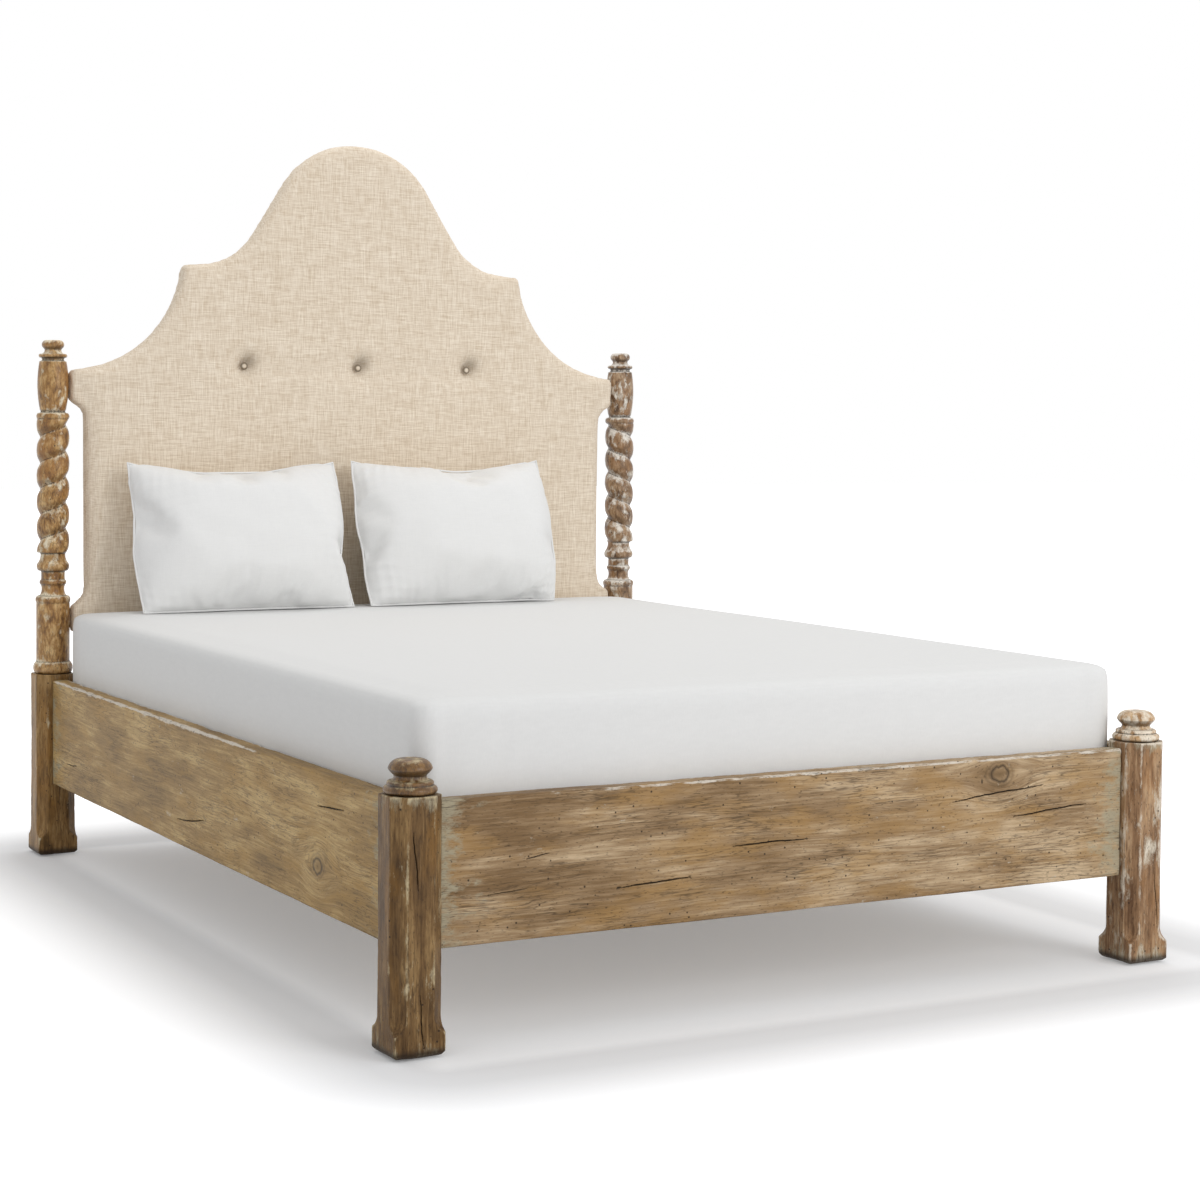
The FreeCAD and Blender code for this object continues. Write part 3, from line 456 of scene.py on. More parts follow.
@dataclass(frozen=True)
class OldTimber(Finish):
    """Reclaimed hardwood, hand planed, stained, whitewashed, rubbed back and waxed.

    The eye gets soft blotches, fine streaks and crackle along the grain, worm holes, creases, undersides, feet and
    rail ends darkened by painted shade with a little real soiling, and chalky wash with hard rubbed edges at the
    ends, beside the hollows and along the arrises; along the arrises and on the upturned faces of turned pieces
    the wash is also a painted highlight.
    Pairs of sizes are a run along the grain and a width across it. A knot ring is a radius, a width and a
    darkness.
    """

    grain: Grain = Grain.ACROSS_BED
    dark: str = "6A523C"
    middle: str = "997F66"
    light: str = "C2A98A"
    wash: str = "DDD4C6"
    stain: str = "A8834F"
    # Wash along the arrises is rubbed-back whitewash and also a painted highlight; on turned pieces the wash in
    # the hollows also covers the upturned faces as a painted highlight.
    wash_and_highlight_on_ridges: float = 0.1
    wash_in_hollows_and_on_lit_tops: float = 0.0
    wash_at_ends: float = 0.2
    wash_over_all: float = -0.1
    shift_mm: tuple[float, float, float] = (0.0, 0.0, 0.0)
    patina: str = "A99F86"
    # Dark colour for holes, pores and knot rings, and for the painted shade in creases, undersides, feet and rail
    # ends.
    dirt_and_shade: str = "2C2015"
    split: str = "17100A"
    blotch_mm: tuple[float, float] = (260.0, 45.0)
    streak_mm: tuple[float, float] = (110.0, 4.0)
    stain_mm: tuple[float, float] = (170.0, 55.0)
    patch_mm: tuple[float, float] = (60.0, 26.0)
    patch_rough: float = 0.74
    # Open pores are under 1 mm wide on the real wood, and hair lines still finer: both are drawn to show.
    pore_mm: tuple[float, float] = (9.0, 2.4)
    crackle_mm: tuple[float, float] = (75.0, 5.0)
    crackled_area_mm: tuple[float, float] = (220.0, 60.0)
    crackle: float = 0.6
    streak_share: float = 0.4
    wave_mm: tuple[float, float] = (520.0, 140.0)
    sway_mm: float = 30.0
    worm_spacing_mm: float = 19.0
    worm_share: float = 0.6
    # How dark the painted shade, with a little soiling, makes creases, undersides, feet and rail ends.
    grime: float = 0.7
    paler_along: float = 0.0
    knots_mm: tuple[tuple[float, float, float], ...] = ()
    knot_reach_mm: float = 95.0
    knot_rings_mm: tuple[tuple[float, float, float], ...] = ((15.0, 5.0, 0.85), (23.0, 4.0, 0.35),
                                                             (0.0, 17.0, 0.4), (0.0, 4.0, 0.8))
    gloss_roughness: float = 0.5
    wax: float = 0.18

    def laid(self, add: Adder) -> tuple[Node, list[NodeSocket]]:
        """Lay the grain along X and bend it round the knots.

        Args:
            add: Adds a node to the material's tree.

        Returns:
            The bent places, and each knot's distance.
        """
        shift = Vector(self.shift_mm) * MM
        here = add("TexCoord").outputs["Object"]
        place = add("Mapping", here, shift, self.grain.turn)
        distances = []
        for knot in self.knots_mm:
            heart = Vector(knot) * MM
            heart.rotate(self.grain.turn)
            apart = add("VectorMath SUBTRACT", place, heart + shift)
            squeezed = add("VectorMath MULTIPLY", apart, (0.7, 1.0, 1.0))
            far = add("VectorMath LENGTH", squeezed).outputs["Value"]
            near = add("MapRange", far, 0.0, self.knot_reach_mm * MM, 1.0, 0.0, interpolation_type="SMOOTHERSTEP")
            across = add("VectorMath MULTIPLY", apart, (0.0, -0.85, -0.85))
            drawn = add("VectorMath SCALE", across, Scale=near)
            place = add("VectorMath ADD", place, drawn)
            distances.append(far)
        return place, distances

    def worm_holes(self, add: Adder, place: Node) -> Node:
        """Dot the wood with worm holes, about 3 mm across.

        Args:
            add: Adds a node to the material's tree.
            place: The places, with the grain along X.

        Returns:
            Nearly one in a hole and nothing elsewhere.
        """
        worm = add("TexVoronoi", Vector=place, Scale=per_mm(self.worm_spacing_mm)[0])
        hole = add("MapRange", worm, 0.07, 0.13, 0.9, 0.0)
        cell = add("SeparateColor", Color=worm.outputs["Color"])
        chosen = add("Math LESS_THAN", cell, self.worm_share)
        return add("Math MULTIPLY", hole, chosen)

    def hair_lines(self, add: Adder, place: Node) -> Node:
        """Draw patches of crackle.

        Args:
            add: Adds a node to the material's tree.
            place: The swayed places, with the grain along X.

        Returns:
            How dark each place is.
        """
        off = add("Math SUBTRACT", stretched_noise(add, place, self.crackle_mm, 1.5, 0.5), 0.5)
        size = add("Math ABSOLUTE", off)
        line = add("MapRange", size, 0.006, 0.04, self.crackle, 0.0)
        area = stretched_noise(add, place, self.crackled_area_mm, 3.0, 0.6)
        patch = add("MapRange", area, 0.45, 0.6, 0.12, 1.0)
        return add("Math MULTIPLY", line, patch)

    def knot_rings(self, add: Adder, place: Node, far: NodeSocket) -> Node:
        """Draw a knot as an uneven dark ring, a faint outer one, a dark middle and a heart check.

        Args:
            add: Adds a node to the material's tree.
            place: The places, with the grain along X.
            far: The distance from the knot's heart.

        Returns:
            How dark each place is.
        """
        uneven = stretched_noise(add, place, (16.0, 12.0), 3.0, 0.6)
        offset = add("Math MULTIPLY_ADD", uneven, 12 * MM, -6 * MM)
        wobbly = add("Math ADD", far, offset)
        total = None
        for radius, width, depth in self.knot_rings_mm:
            gap = add("Math SUBTRACT", wobbly, radius * MM)
            size = add("Math ABSOLUTE", gap)
            ring = add("MapRange", size, 0.0, width * MM, depth, 0.0)
            total = add("Math MAXIMUM", total, ring) if total else ring
        return total

    def rubbed(self, add: Adder, patch: Node, shares: dict[str, float]) -> Node:
        """Leave a coat in patches, and more of it where the piece's attributes say.

        Args:
            add: Adds a node to the material's tree.
            patch: The coat's own noise.
            shares: Attribute names with how much each adds.

        Returns:
            How much of the coat each place keeps.
        """
        total = add("Math ADD", patch, self.wash_over_all)
        for attribute, share in shares.items():
            read = add("Attribute", attribute_name=attribute).outputs["Fac"]
            total = add("Math MULTIPLY_ADD", read, share, total)
        return add("MapRange", total, 0.54, 0.68, 0.0, 0.92)

    def surface(self, add: Adder) -> dict[str, Any]:
        """Draw the wood under its coats.

        Args:
            add: Adds a node to the material's tree.

        Returns:
            What the shader's sockets take.
        """
        place, knots = self.laid(add)
        wave = stretched_noise(add, place, self.wave_mm, 2.0)
        sway = self.sway_mm * MM
        wavy = add("VectorMath MULTIPLY_ADD", wave.outputs["Color"], (0.0, sway, sway), place)

        drawn = partial(stretched_noise, add, wavy)
        blotch = drawn(self.blotch_mm, 4.0, 0.62)
        streak = drawn(self.streak_mm, 5.0, 0.65)
        along_piece = add("SeparateXYZ", Vector=place)
        fade = add("MapRange", along_piece, -0.8, 0.8, -self.paler_along, self.paler_along)
        broad = add("Math MULTIPLY_ADD", blotch, 1 - self.streak_share, fade)
        tone = add("Math MULTIPLY_ADD", streak, self.streak_share, broad)
        stops = [(0.38, linear(self.dark)), (0.5, linear(self.middle)), (0.62, linear(self.light))]
        colour = add("ValToRGB", tone, stops=stops)
        stained = add("MapRange", drawn(self.stain_mm, 3.0, 0.6), 0.5, 0.66, 0.0, 0.6)

        patch = drawn(self.patch_mm, 8.0, self.patch_rough)
        greyed = self.rubbed(add, patch, {"ends": self.wash_at_ends})
        # The ridge wash is whitewash and a painted highlight along the arrises; on turned pieces the hollows' wash
        # also lies on upturned faces as a painted highlight.
        washed_and_highlit = self.rubbed(add, patch, {"ridge": self.wash_and_highlight_on_ridges, "hollow": self.wash_in_hollows_and_on_lit_tops})
        dug = add("MapRange", drawn(self.pore_mm, 2.0, 0.5), 0.6, 0.72, 0.0, 0.55)
        marks = [self.worm_holes(add, place), self.hair_lines(add, wavy)]
        for mark in marks + [self.knot_rings(add, place, far) for far in knots]:
            dug = add("Math MAXIMUM", dug, mark)
        # This attribute darkens tight creases, undersides, leg feet and rail ends at the joints: painted shade,
        # with a little soiling in the creases.
        grime, crack = (add("Attribute", attribute_name=name).outputs["Fac"] for name in ("grime", "crack"))
        shaded_and_grimy = add("Math MULTIPLY", grime, self.grime)
        for shade, share in ((self.stain, stained), (self.patina, greyed), (self.wash, washed_and_highlit),
                             (self.dirt_and_shade, shaded_and_grimy), (self.dirt_and_shade, dug), (self.split, crack)):
            colour = add("Mix", share, *MIX_GAP, colour, linear(shade), data_type="RGBA").outputs[2]

        raised = add("Math MULTIPLY_ADD", streak, 0.6, patch)
        height = add("Math SUBTRACT", raised, dug)
        bump = add("Bump", Height=height, Strength=0.6, Distance=0.9 * MM)
        gloss = add("MapRange", washed_and_highlit, 0.0, 1.0, self.gloss_roughness, 0.72)
        return {"Base Color": colour, "Normal": bump, "Roughness": gloss, "Specular IOR Level": self.wax}


@dataclass(frozen=True)
class PlanedTimber(Finish):
    """Planed softwood, unfinished: pale early wood, browner late-wood lines and a dry surface."""

    grain: Grain = Grain.ACROSS_BED
    pale: str = "D9BE93"
    late: str = "B98F5C"
    line_mm: float = 7.0
    run_mm: float = 420.0
    heart_m: tuple[float, float, float] = (0.31, 0.17, 0.23)

    def surface(self, add: Adder) -> dict[str, Any]:
        """Draw the grain's lines.

        Args:
            add: Adds a node to the material's tree.

        Returns:
            What the shader's sockets take.
        """
        here = add("TexCoord").outputs["Object"]
        laid = add("Mapping", here, self.heart_m, self.grain.turn)
        line = stretched_noise(add, laid, (self.run_mm, self.line_mm), 4.0, 0.55)
        colour = add("ValToRGB", line, stops=[(0.36, linear(self.late)), (0.56, linear(self.pale))])
        bump = add("Bump", Height=line, Strength=0.25, Distance=0.3 * MM)
        return {"Base Color": colour, "Normal": bump, "Roughness": 0.62}


@dataclass(frozen=True)
class Weave(Finish):
    """Plain-woven cloth: crossing threads of uneven thickness and tone, a soft bloom of loose fibre, and painted
    shade in a dusty colour where a piece's attribute for it says. Real threads are finer than a pixel, so they are
    drawn coarser.
    """

    shade: str = "CBBEA9"
    pale: str = "EADFCE"
    thread_mm: float = 3.0
    slub_mm: float = 60.0
    depth_mm: float = 0.5
    crumple_mm: float = 0.0
    across: tuple[int, int] = (0, 2)
    sheen: float = 0.15
    # The colour of the painted shade in the headboard's pits and round the buttons' rims.
    dust: str = "5F4F39"
    crumple_run_mm: tuple[float, float, float] = (90.0, 90.0, 70.0)

    def surface(self, add: Adder) -> dict[str, Any]:
        """Draw the threads, the painted shade and the crumples.

        Args:
            add: Adds a node to the material's tree.

        Returns:
            What the shader's sockets take.
        """
        here = add("TexCoord").outputs["Object"]
        threads = []
        for run, other in (self.across, self.across[::-1]):
            sizes = [self.thread_mm * 4] * 3
            sizes[run] = self.slub_mm
            sizes[other] = self.thread_mm
            threads.append(stretched_noise(add, here, sizes, 2.0, 0.6))
        crossed = add("Math ADD", threads[0], threads[1])
        halved = add("Math MULTIPLY", crossed, 0.5)
        clean = add("ValToRGB", halved, stops=[(0.33, linear(self.shade)), (0.67, linear(self.pale))])
        # Painted shade, from the piece's attribute.
        soil = add("Attribute", attribute_name="soil").outputs["Fac"]
        colour = add("Mix", soil, *MIX_GAP, clean, linear(self.dust), data_type="RGBA").outputs[2]
        relief = {"Height": crossed, "Strength": 0.5, "Distance": self.depth_mm * MM}
        if self.crumple_mm:
            soft = stretched_noise(add, here, self.crumple_run_mm, 3.0)
            relief["Normal"] = add("Bump", Height=soft, Strength=0.6, Distance=self.crumple_mm * MM)
        return {"Base Color": colour, "Normal": add("Bump", **relief), "Roughness": 0.9,
                "Specular IOR Level": 0.25, "Sheen Weight": self.sheen, "Sheen Roughness": 0.5}


@dataclass(frozen=True)
class Speckled(Finish):
    """A plain manufactured surface with a fine grit of tone: moulded nylon, twine, plated steel."""

    dark: str = "202020"
    pale: str = "303030"
    grit_mm: float = 1.5
    roughness: float = 0.5
    metallic: float = 0.0
    depth_mm: float = 0.05

    def surface(self, add: Adder) -> dict[str, Any]:
        """Draw the grit.

        Args:
            add: Adds a node to the material's tree.

        Returns:
            What the shader's sockets take.
        """
        here = add("TexCoord").outputs["Object"]
        grit = add("TexNoise", Vector=here, Scale=per_mm(self.grit_mm)[0], Detail=3.0)
        colour = add("ValToRGB", grit, stops=[(0.35, linear(self.dark)), (0.65, linear(self.pale))])
        bump = add("Bump", Height=grit, Strength=0.4, Distance=self.depth_mm * MM)
        return {"Base Color": colour, "Normal": bump, "Roughness": self.roughness, "Metallic": self.metallic}


@dataclass(frozen=True)
class StudioFloor(Finish):
    """Seamless paper with a painted glow for the eye's rays: white far from the bed, a painted shadow just round
    it and a raised glow under it, over the bed's soft shadow.
    """

    paper: str = "E5E6E8"
    fibre_mm: float = 6.0
    # Middle and half size of the bed's footprint that shapes the painted glow and shadow, shifted right and
    # forward.
    shade_at_m: tuple[float, float] = (0.07, -0.05)
    shade_half_m: tuple[float, float] = (0.85, 1.12)
    fade_m: float = 0.6
    # Painted glow at each share of the fade: raised under the bed, a painted shadow just round it, white far off.
    painted_glow_levels: tuple[tuple[float, float], ...] = ((0.0, 0.25), (0.08, 0.13), (0.2, 0.13), (0.33, 0.23), (0.5, 0.4),
                                              (1.0, 0.8))

    def surface(self, add: Adder) -> dict[str, Any]:
        """Draw the paper, and paint a glow on it that rises to white away from the bed, dips just round it as a
        painted shadow and rises again under it.

        Args:
            add: Adds a node to the material's tree.

        Returns:
            What the shader's sockets take.
        """
        here = add("TexCoord").outputs["Object"]
        fibre = add("TexNoise", Vector=here, Scale=per_mm(self.fibre_mm)[0])
        bump = add("Bump", Height=fibre, Strength=0.03, Distance=0.05 * MM)
        shaded = add("VectorMath SUBTRACT", here, (*self.shade_at_m, 0.0))
        size = add("VectorMath ABSOLUTE", shaded)
        outside = add("VectorMath SUBTRACT", size, (*self.shade_half_m, 0.0))
        beyond = add("VectorMath MAXIMUM", outside, (0.0, 0.0, 0.0))
        away = add("VectorMath LENGTH", beyond).outputs["Value"]
        reach = add("Math DIVIDE", away, self.fade_m)
        stops = [(place, (level, level, level, 1.0)) for place, level in self.painted_glow_levels]
        lift = add("ValToRGB", reach, stops=stops)
        # The floor glows by this much for the eye's rays: painted light and painted shadow.
        painted_glow_seen = add("Math MULTIPLY", seen_rays(add), lift)
        return {"Base Color": linear(self.paper), "Normal": bump, "Roughness": 0.95, "Specular IOR Level": 0.0,
                "Emission Color": WHITE, "Emission Strength": painted_glow_seen}


# ---------------------------------------------------------------- timber pieces


@dataclass(frozen=True)
class Crack:
    """A split along the grain: two ends on the face, its half width and its depth."""

    start_mm: tuple[float, float, float]
    end_mm: tuple[float, float, float]
    width_mm: float = 1.5
    depth_mm: float = 5.0

    def nearness(self, points: np.ndarray) -> np.ndarray:
        """Say how near each point is to the split, from 0 at its lip to 1 in its middle.

        Args:
            points: Places in metres.

        Returns:
            One share for each place; the split wanders and narrows towards its ends.
        """
        first = np.array(self.start_mm) * MM
        run = np.array(self.end_mm) * MM - first
        length = np.linalg.norm(run)
        side = np.cross(run / length, np.eye(3)[np.argmin(np.abs(run))])
        share = np.clip((points - first) @ run / length ** 2, 0.0, 1.0)
        line = first + share[:, None] * run
        wander = (ripple(line, 60.0, 3.7) * 3.0 + ripple(line, 11.0, 8.1) * 0.7) * MM
        apart = np.linalg.norm(points - line - wander[:, None] * side, axis=1)
        taper = np.sqrt(np.clip(4 * share * (1 - share), 0.02, 1.0))
        return np.clip(1 - apart / (self.width_mm * MM * taper), 0.0, 1.0)


@dataclass
class OldPiece:
    """One leg, turning, finial or rail, with the wear of age cut into its CAD shape."""

    node: str
    finish: OldTimber
    slot: str
    voxel_mm: float
    hewn_mm: float
    chip_mm: float
    end_reach_mm: float
    cracks: tuple[Crack, ...]
    seed: float
    # The stretch of a rail's top arris whose wash is rubbed wear and a painted highlight; None on the posts.
    rubbed_highlit_top_mm: Optional[tuple[float, float]] = None
    turned: bool = False
    hewn_run_mm: float = 190.0
    hewn_width_mm: float = 55.0
    nick_mm: float = 16.0
    long_nick_mm: float = 46.0
    # How far painted shade reaches from a rail's ends and from a leg's foot.
    plank_end_shade_mm: float = 6.0
    foot_shade_mm: float = 10.0
    dull_end_mm: float = 20.0
    # How the stretch of rubbed, painted highlight on a rail's top arris fades along it and down from the top.
    rub_highlight_fade_mm: float = 180.0
    rub_highlight_deep_mm: float = 16.0
    crack_dark_mm: float = 3.0

    def near_cracks(self, points: np.ndarray) -> np.ndarray:
        """Mark the points close to a split."""
        wide = [Crack(crack.start_mm, crack.end_mm, 2.5 * self.voxel_mm) for crack in self.cracks]
        return np.any([crack.nearness(points) > 0 for crack in wide], axis=0)

    def rub_and_highlight_top(self, points: np.ndarray, ridge: np.ndarray) -> np.ndarray:
        """Keep a rail's arrises dull, apart from a stretch of its top arris whose wash is rubbed wear and a
        painted highlight.

        Args:
            points: The rail's places.
            ridge: How sharp an arris each place is on.

        Returns:
            The changed ridge values.
        """
        first, last = (end * MM for end in self.rubbed_highlit_top_mm)
        run = points[:, self.finish.grain.axis]
        inside = np.clip(np.minimum(run - first, last - run) / (self.rub_highlight_fade_mm * MM) + 0.5, 0, 1)
        top = np.clip((points[:, 2] - points[:, 2].max()) / (self.rub_highlight_deep_mm * MM) + 1.4, 0, 1)
        return ridge * (0.25 + 2.2 * inside * top)

    def wear(self, mesh: Mesh) -> None:
        """Hew the faces, chip the arrises, cut the splits and note where wash, painted highlight, soiling and
        painted shade go.

        Args:
            mesh: The piece's even skin.
        """
        points, normals = points_of(mesh), normals_of(mesh)
        plank = self.rubbed_highlit_top_mm is not None
        pull = spread(mesh, points, 1) - points
        bend = 9 * (pull * normals).sum(axis=1) / (self.voxel_mm * MM)
        # Tight creases, darkened later as painted shade with a little soiling.
        crease = np.clip(4 * spread(mesh, bend, 1) - (0.5 if self.turned else 1.4), 0, 1)
        bend = spread(mesh, bend, 1 if plank else 3)
        ridge = np.clip(-bend, 0, 1)
        hollow = np.clip(2.5 * spread(mesh, np.clip(bend, 0, 1), 14), 0, 1)

        axis = self.finish.grain.axis
        from_low = points[:, axis] - points[:, axis].min()
        from_end = np.minimum(from_low, points[:, axis].max() - points[:, axis])
        # Painted shade over the bottom of a leg, where its foot's bevel falls in shadow.
        soil = 1.9 - from_low / (self.foot_shade_mm * MM)
        if plank:
            # Painted shade at a rail's ends, along its joints with the legs.
            soil = 1.3 - from_end / (self.plank_end_shade_mm * MM)
            ridge = self.rub_and_highlight_top(points, ridge) * np.clip(from_end / (self.dull_end_mm * MM), 0, 1)

        sizes = [self.hewn_width_mm] * 3
        sizes[axis] = self.hewn_run_mm
        hewn = ripple(points, sizes, self.seed) * self.hewn_mm
        nicks = np.clip(ripple(points, self.nick_mm, self.seed + 9) - 0.12, 0, 1)
        long_nicks = np.clip(ripple(points, self.long_nick_mm, self.seed + 5) - 0.1, 0, 1)
        chipped = np.clip(ridge, 0, 1) * (nicks + long_nicks) * 2.2 * self.chip_mm
        depth = np.zeros(len(points))
        for crack in self.cracks:
            depth = np.maximum(depth, np.sqrt(crack.nearness(points)) * crack.depth_mm)
        step = (hewn - self.hewn_mm * 0.6 - chipped - depth) * MM
        move_points(mesh, points + normals * step[:, None])

        # Painted shade on faces that look down.
        painted_underside_shade = 0.8 * np.clip(-normals[:, 2] - 0.25, 0, 1)
        if self.turned:
            painted_underside_shade = 1.3 * np.clip(-normals[:, 2] - 0.15, 0, 1)
            # Upturned faces of turned pieces join the hollows, so their wash is a painted highlight on the tops of
            # the lobes.
            hollow = np.clip(hollow + 0.7 * np.clip(normals[:, 2] - 0.1, 0, 1), 0, 1)
        set_attribute(mesh, "ends", np.clip(1 - from_end / (self.end_reach_mm * MM), 0, 1))
        set_attribute(mesh, "ridge", np.clip(ridge + 0.4 * chipped / self.chip_mm, 0, 2))
        set_attribute(mesh, "hollow", hollow)
        set_attribute(mesh, "grime", np.clip(crease + np.clip(soil, 0, 1) + painted_underside_shade, 0, 1))
        set_attribute(mesh, "crack", np.clip(depth / self.crack_dark_mm, 0, 1))

    def build(self) -> None:
        """Make the worn piece in place of its CAD node."""
        piece = new_piece("worn_" + self.node, merged_copy(self.node))
        remesh(piece, self.voxel_mm)
        if self.cracks:
            refine(piece.data, self.near_cracks, 2)
        self.wear(piece.data)
        piece.data.shade_smooth()
        dress(piece, "bed_frame", self.finish)
        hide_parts(self.node)


@dataclass
class TimberFrame:
    """The four legs with their turnings and finials, and the four plank rails."""

    leg_voxel_mm: float = 2.2
    turning_voxel_mm: float = 1.8
    finial_voxel_mm: float = 1.4
    foot_voxel_mm: float = 3.6
    side_voxel_mm: float = 4.2
    head_voxel_mm: float = 5.0
    rail_face_y_mm: float = -1091.0
    side_face_x_mm: float = -820.0
    leg_face_y_mm: float = -1124.0

    def rails(self) -> list[OldPiece]:
        """Describe the rails, with splits and knots on the outer faces of the foot rail and the left one.

        Returns:
            The pieces to build.
        """
        foot, side = self.rail_face_y_mm, self.side_face_x_mm
        foot_cracks = (
            Crack((-407, foot, 254), (-250, foot, 262)),
            Crack((-169, foot, 309), (5, foot, 311)),
            Crack((-592, foot, 321), (-540, foot, 328), 1.1, 3.5),
            Crack((-665, foot, 262), (-585, foot, 268), 1.0, 3.0),
            Crack((327, foot, 357), (559, foot, 376)),
            Crack((478, foot, 318), (671, foot, 332)),
        )
        side_cracks = (
            Crack((side, 95, 231), (side, -82, 252)),
            Crack((side, -690, 373), (side, -824, 383)),
            Crack((side, 905, 243), (side, 816, 248), 1.2, 4.0),
        )
        foot_wood = OldTimber("waxed old plank of the foot rail", Grain.ACROSS_BED, "7D6242", "A08564", "CCB391",
                              wash_and_highlight_on_ridges=0.3, wash_at_ends=0.36, paler_along=0.06,
                              knots_mm=((447.0, foot, 404.0),))
        side_wood = partial(OldTimber, grain=Grain.ALONG_BED, dark="7F653C", middle="A38452", light="C8AB77",
                            stain="A88448", patina="9C947A", wash_and_highlight_on_ridges=0.34, blotch_mm=(300.0, 60.0),
                            crackle=0.5, worm_share=0.4)
        left_wood = side_wood("waxed old plank of the left rail", shift_mm=(130.0, 40.0, 75.0),
                              knots_mm=((side, -697.0, 262.0),))
        right_wood = side_wood("waxed old plank of the right rail", shift_mm=(770.0, 210.0, 5.0))
        head_wood = OldTimber("waxed old plank of the head rail", shift_mm=(330.0, 90.0, 45.0))
        # Skin, hewing, chips and reach of the worn ends in mm, then splits, seed and the stretch of top arris with
        # rubbed wash and painted highlight.
        rows = (
            ("foot_rail", foot_wood, self.foot_voxel_mm, 1.0, 2.6, 150.0, foot_cracks, 1.3, (-420.0, 800.0)),
            ("side_rail_left", left_wood, self.side_voxel_mm, 1.0, 2.2, 170.0, side_cracks, 4.1, (-350.0, 1050.0)),
            ("side_rail_right", right_wood, self.side_voxel_mm, 1.0, 2.2, 170.0, (), 6.3, (-350.0, 1050.0)),
            ("head_rail", head_wood, self.head_voxel_mm, 1.0, 2.2, 170.0, (), 8.2, (-800.0, 800.0)),
        )
        return [OldPiece(node, wood, "plank_wood", *sizes) for node, wood, *sizes in rows]

    def posts(self) -> list[OldPiece]:
        """Describe the legs, the turnings and the finials.

        Returns:
            The pieces to build.
        """
        face, up = self.leg_face_y_mm, Grain.UPRIGHT
        upright: dict[str, Any] = {
            "blotch_mm": (120.0, 30.0), "streak_mm": (60.0, 4.0), "patch_mm": (90.0, 30.0),
            "crackle_mm": (60.0, 5.0), "sway_mm": 8.0, "gloss_roughness": 0.42, "grime": 0.85,
        }
        carved = {
            **upright, "blotch_mm": (36.0, 22.0), "streak_mm": (22.0, 6.0), "patch_mm": (34.0, 20.0),
            "crackle_mm": (24.0, 7.0), "patch_rough": 0.62, "worm_share": 0.3, "gloss_roughness": 0.3, "wax": 0.4,
        }
        # Dark, middle, light, wash and stain, then the wash on ridges (also a painted highlight), in hollows (also
        # a painted highlight on upturned faces), at the ends and over all.
        # The right-hand pieces take paler, chalkier colours than the left: partly more whitewash, partly a painted
        # brightness of the side that the light falls on.
        woods = (
            OldTimber("dark waxed post wood", up, "4C361D", "715533", "9A7C52", "C6B592", "85602F",
                      0.34, 0.0, 0.14, -0.05, **upright),
            OldTimber("rubbed post wood", up, "654830", "987656", "BF9F7C", "E4D8C6", "A27444",
                      0.34, 0.0, 0.12, 0.0, (55.0, 20.0, 70.0), **upright),
            OldTimber("golden waxed leg wood", up, "5A4224", "8F6E43", "B99766", "D6C9AA", "9C7138",
                      0.26, 0.0, 0.12, -0.08, (15.0, 60.0, 30.0), **upright),
            OldTimber("chalked leg wood", up, "4B3524", "7C6045", "A3876A", "DACFBF", "A8834F",
                      0.28, 0.0, 0.12, -0.04, (25.0, 35.0, 90.0), **upright),
            OldTimber("golden carved wood", up, "6A4723", "AB8049", "D9B57E", "F3E6CA", "A8743A",
                      0.1, 0.3, 0.0, -0.04, (15.0, 60.0, 30.0), **carved),
            OldTimber("chalked carved wood", up, "573D28", "967655", "C4A98A", "F4EDE2", "93693F",
                      0.1, 0.36, 0.0, 0.0, (25.0, 35.0, 90.0), **carved),
            OldTimber("dark knob wood", up, "3A2814", "674A29", "967344", "C2B290", "7A5527",
                      0.08, 0.2, 0.0, -0.07, (5.0, 10.0, 44.0), **carved),
            OldTimber("chalked knob wood", up, "86643F", "BC9668", "DDBF98", "F3E6D2", "C08E5C",
                      0.1, 0.1, 0.0, 0.06, (65.0, 15.0, 4.0), **carved),
        )
        left_cracks = (
            Crack((-820, face, 393), (-808, face, 286), 1.2, 4.0),
            Crack((-805, face, 113), (-797, face, 18), 1.2, 4.0),
        )
        right_cracks = (Crack((813, face, 217), (826, face, 70), 1.3, 4.0),)
        leg, turning, knob = self.leg_voxel_mm, self.turning_voxel_mm, self.finial_voxel_mm
        # Skin, hewing, chips and reach of the worn ends in mm, then splits and seed.
        rows = (
            ("foot_leg_left", leg, 1.0, 2.0, 45.0, left_cracks, 2.2),
            ("foot_leg_right", leg, 1.0, 2.0, 45.0, right_cracks, 3.1),
            ("head_leg_left", leg, 1.0, 1.8, 45.0, (), 5.5),
            ("head_leg_right", leg, 1.0, 1.8, 45.0, (), 7.4),
            ("head_turning_left", turning, 0.4, 0.8, 60.0, (), 9.1),
            ("head_turning_right", turning, 0.4, 0.8, 60.0, (), 10.6),
            ("foot_finial_left", knob, 0.4, 0.6, 20.0, (), 11.8),
            ("foot_finial_right", knob, 0.4, 0.6, 20.0, (), 12.9),
        )
        return [OldPiece(node, wood, "post_wood", *sizes, turned="_leg_" not in node)
                for (node, *sizes), wood in zip(rows, woods)]

    def build(self) -> None:
        """Make every worn timber piece."""
        for piece in self.rails() + self.posts():
            piece.build()


# ---------------------------------------------------------------- headboard


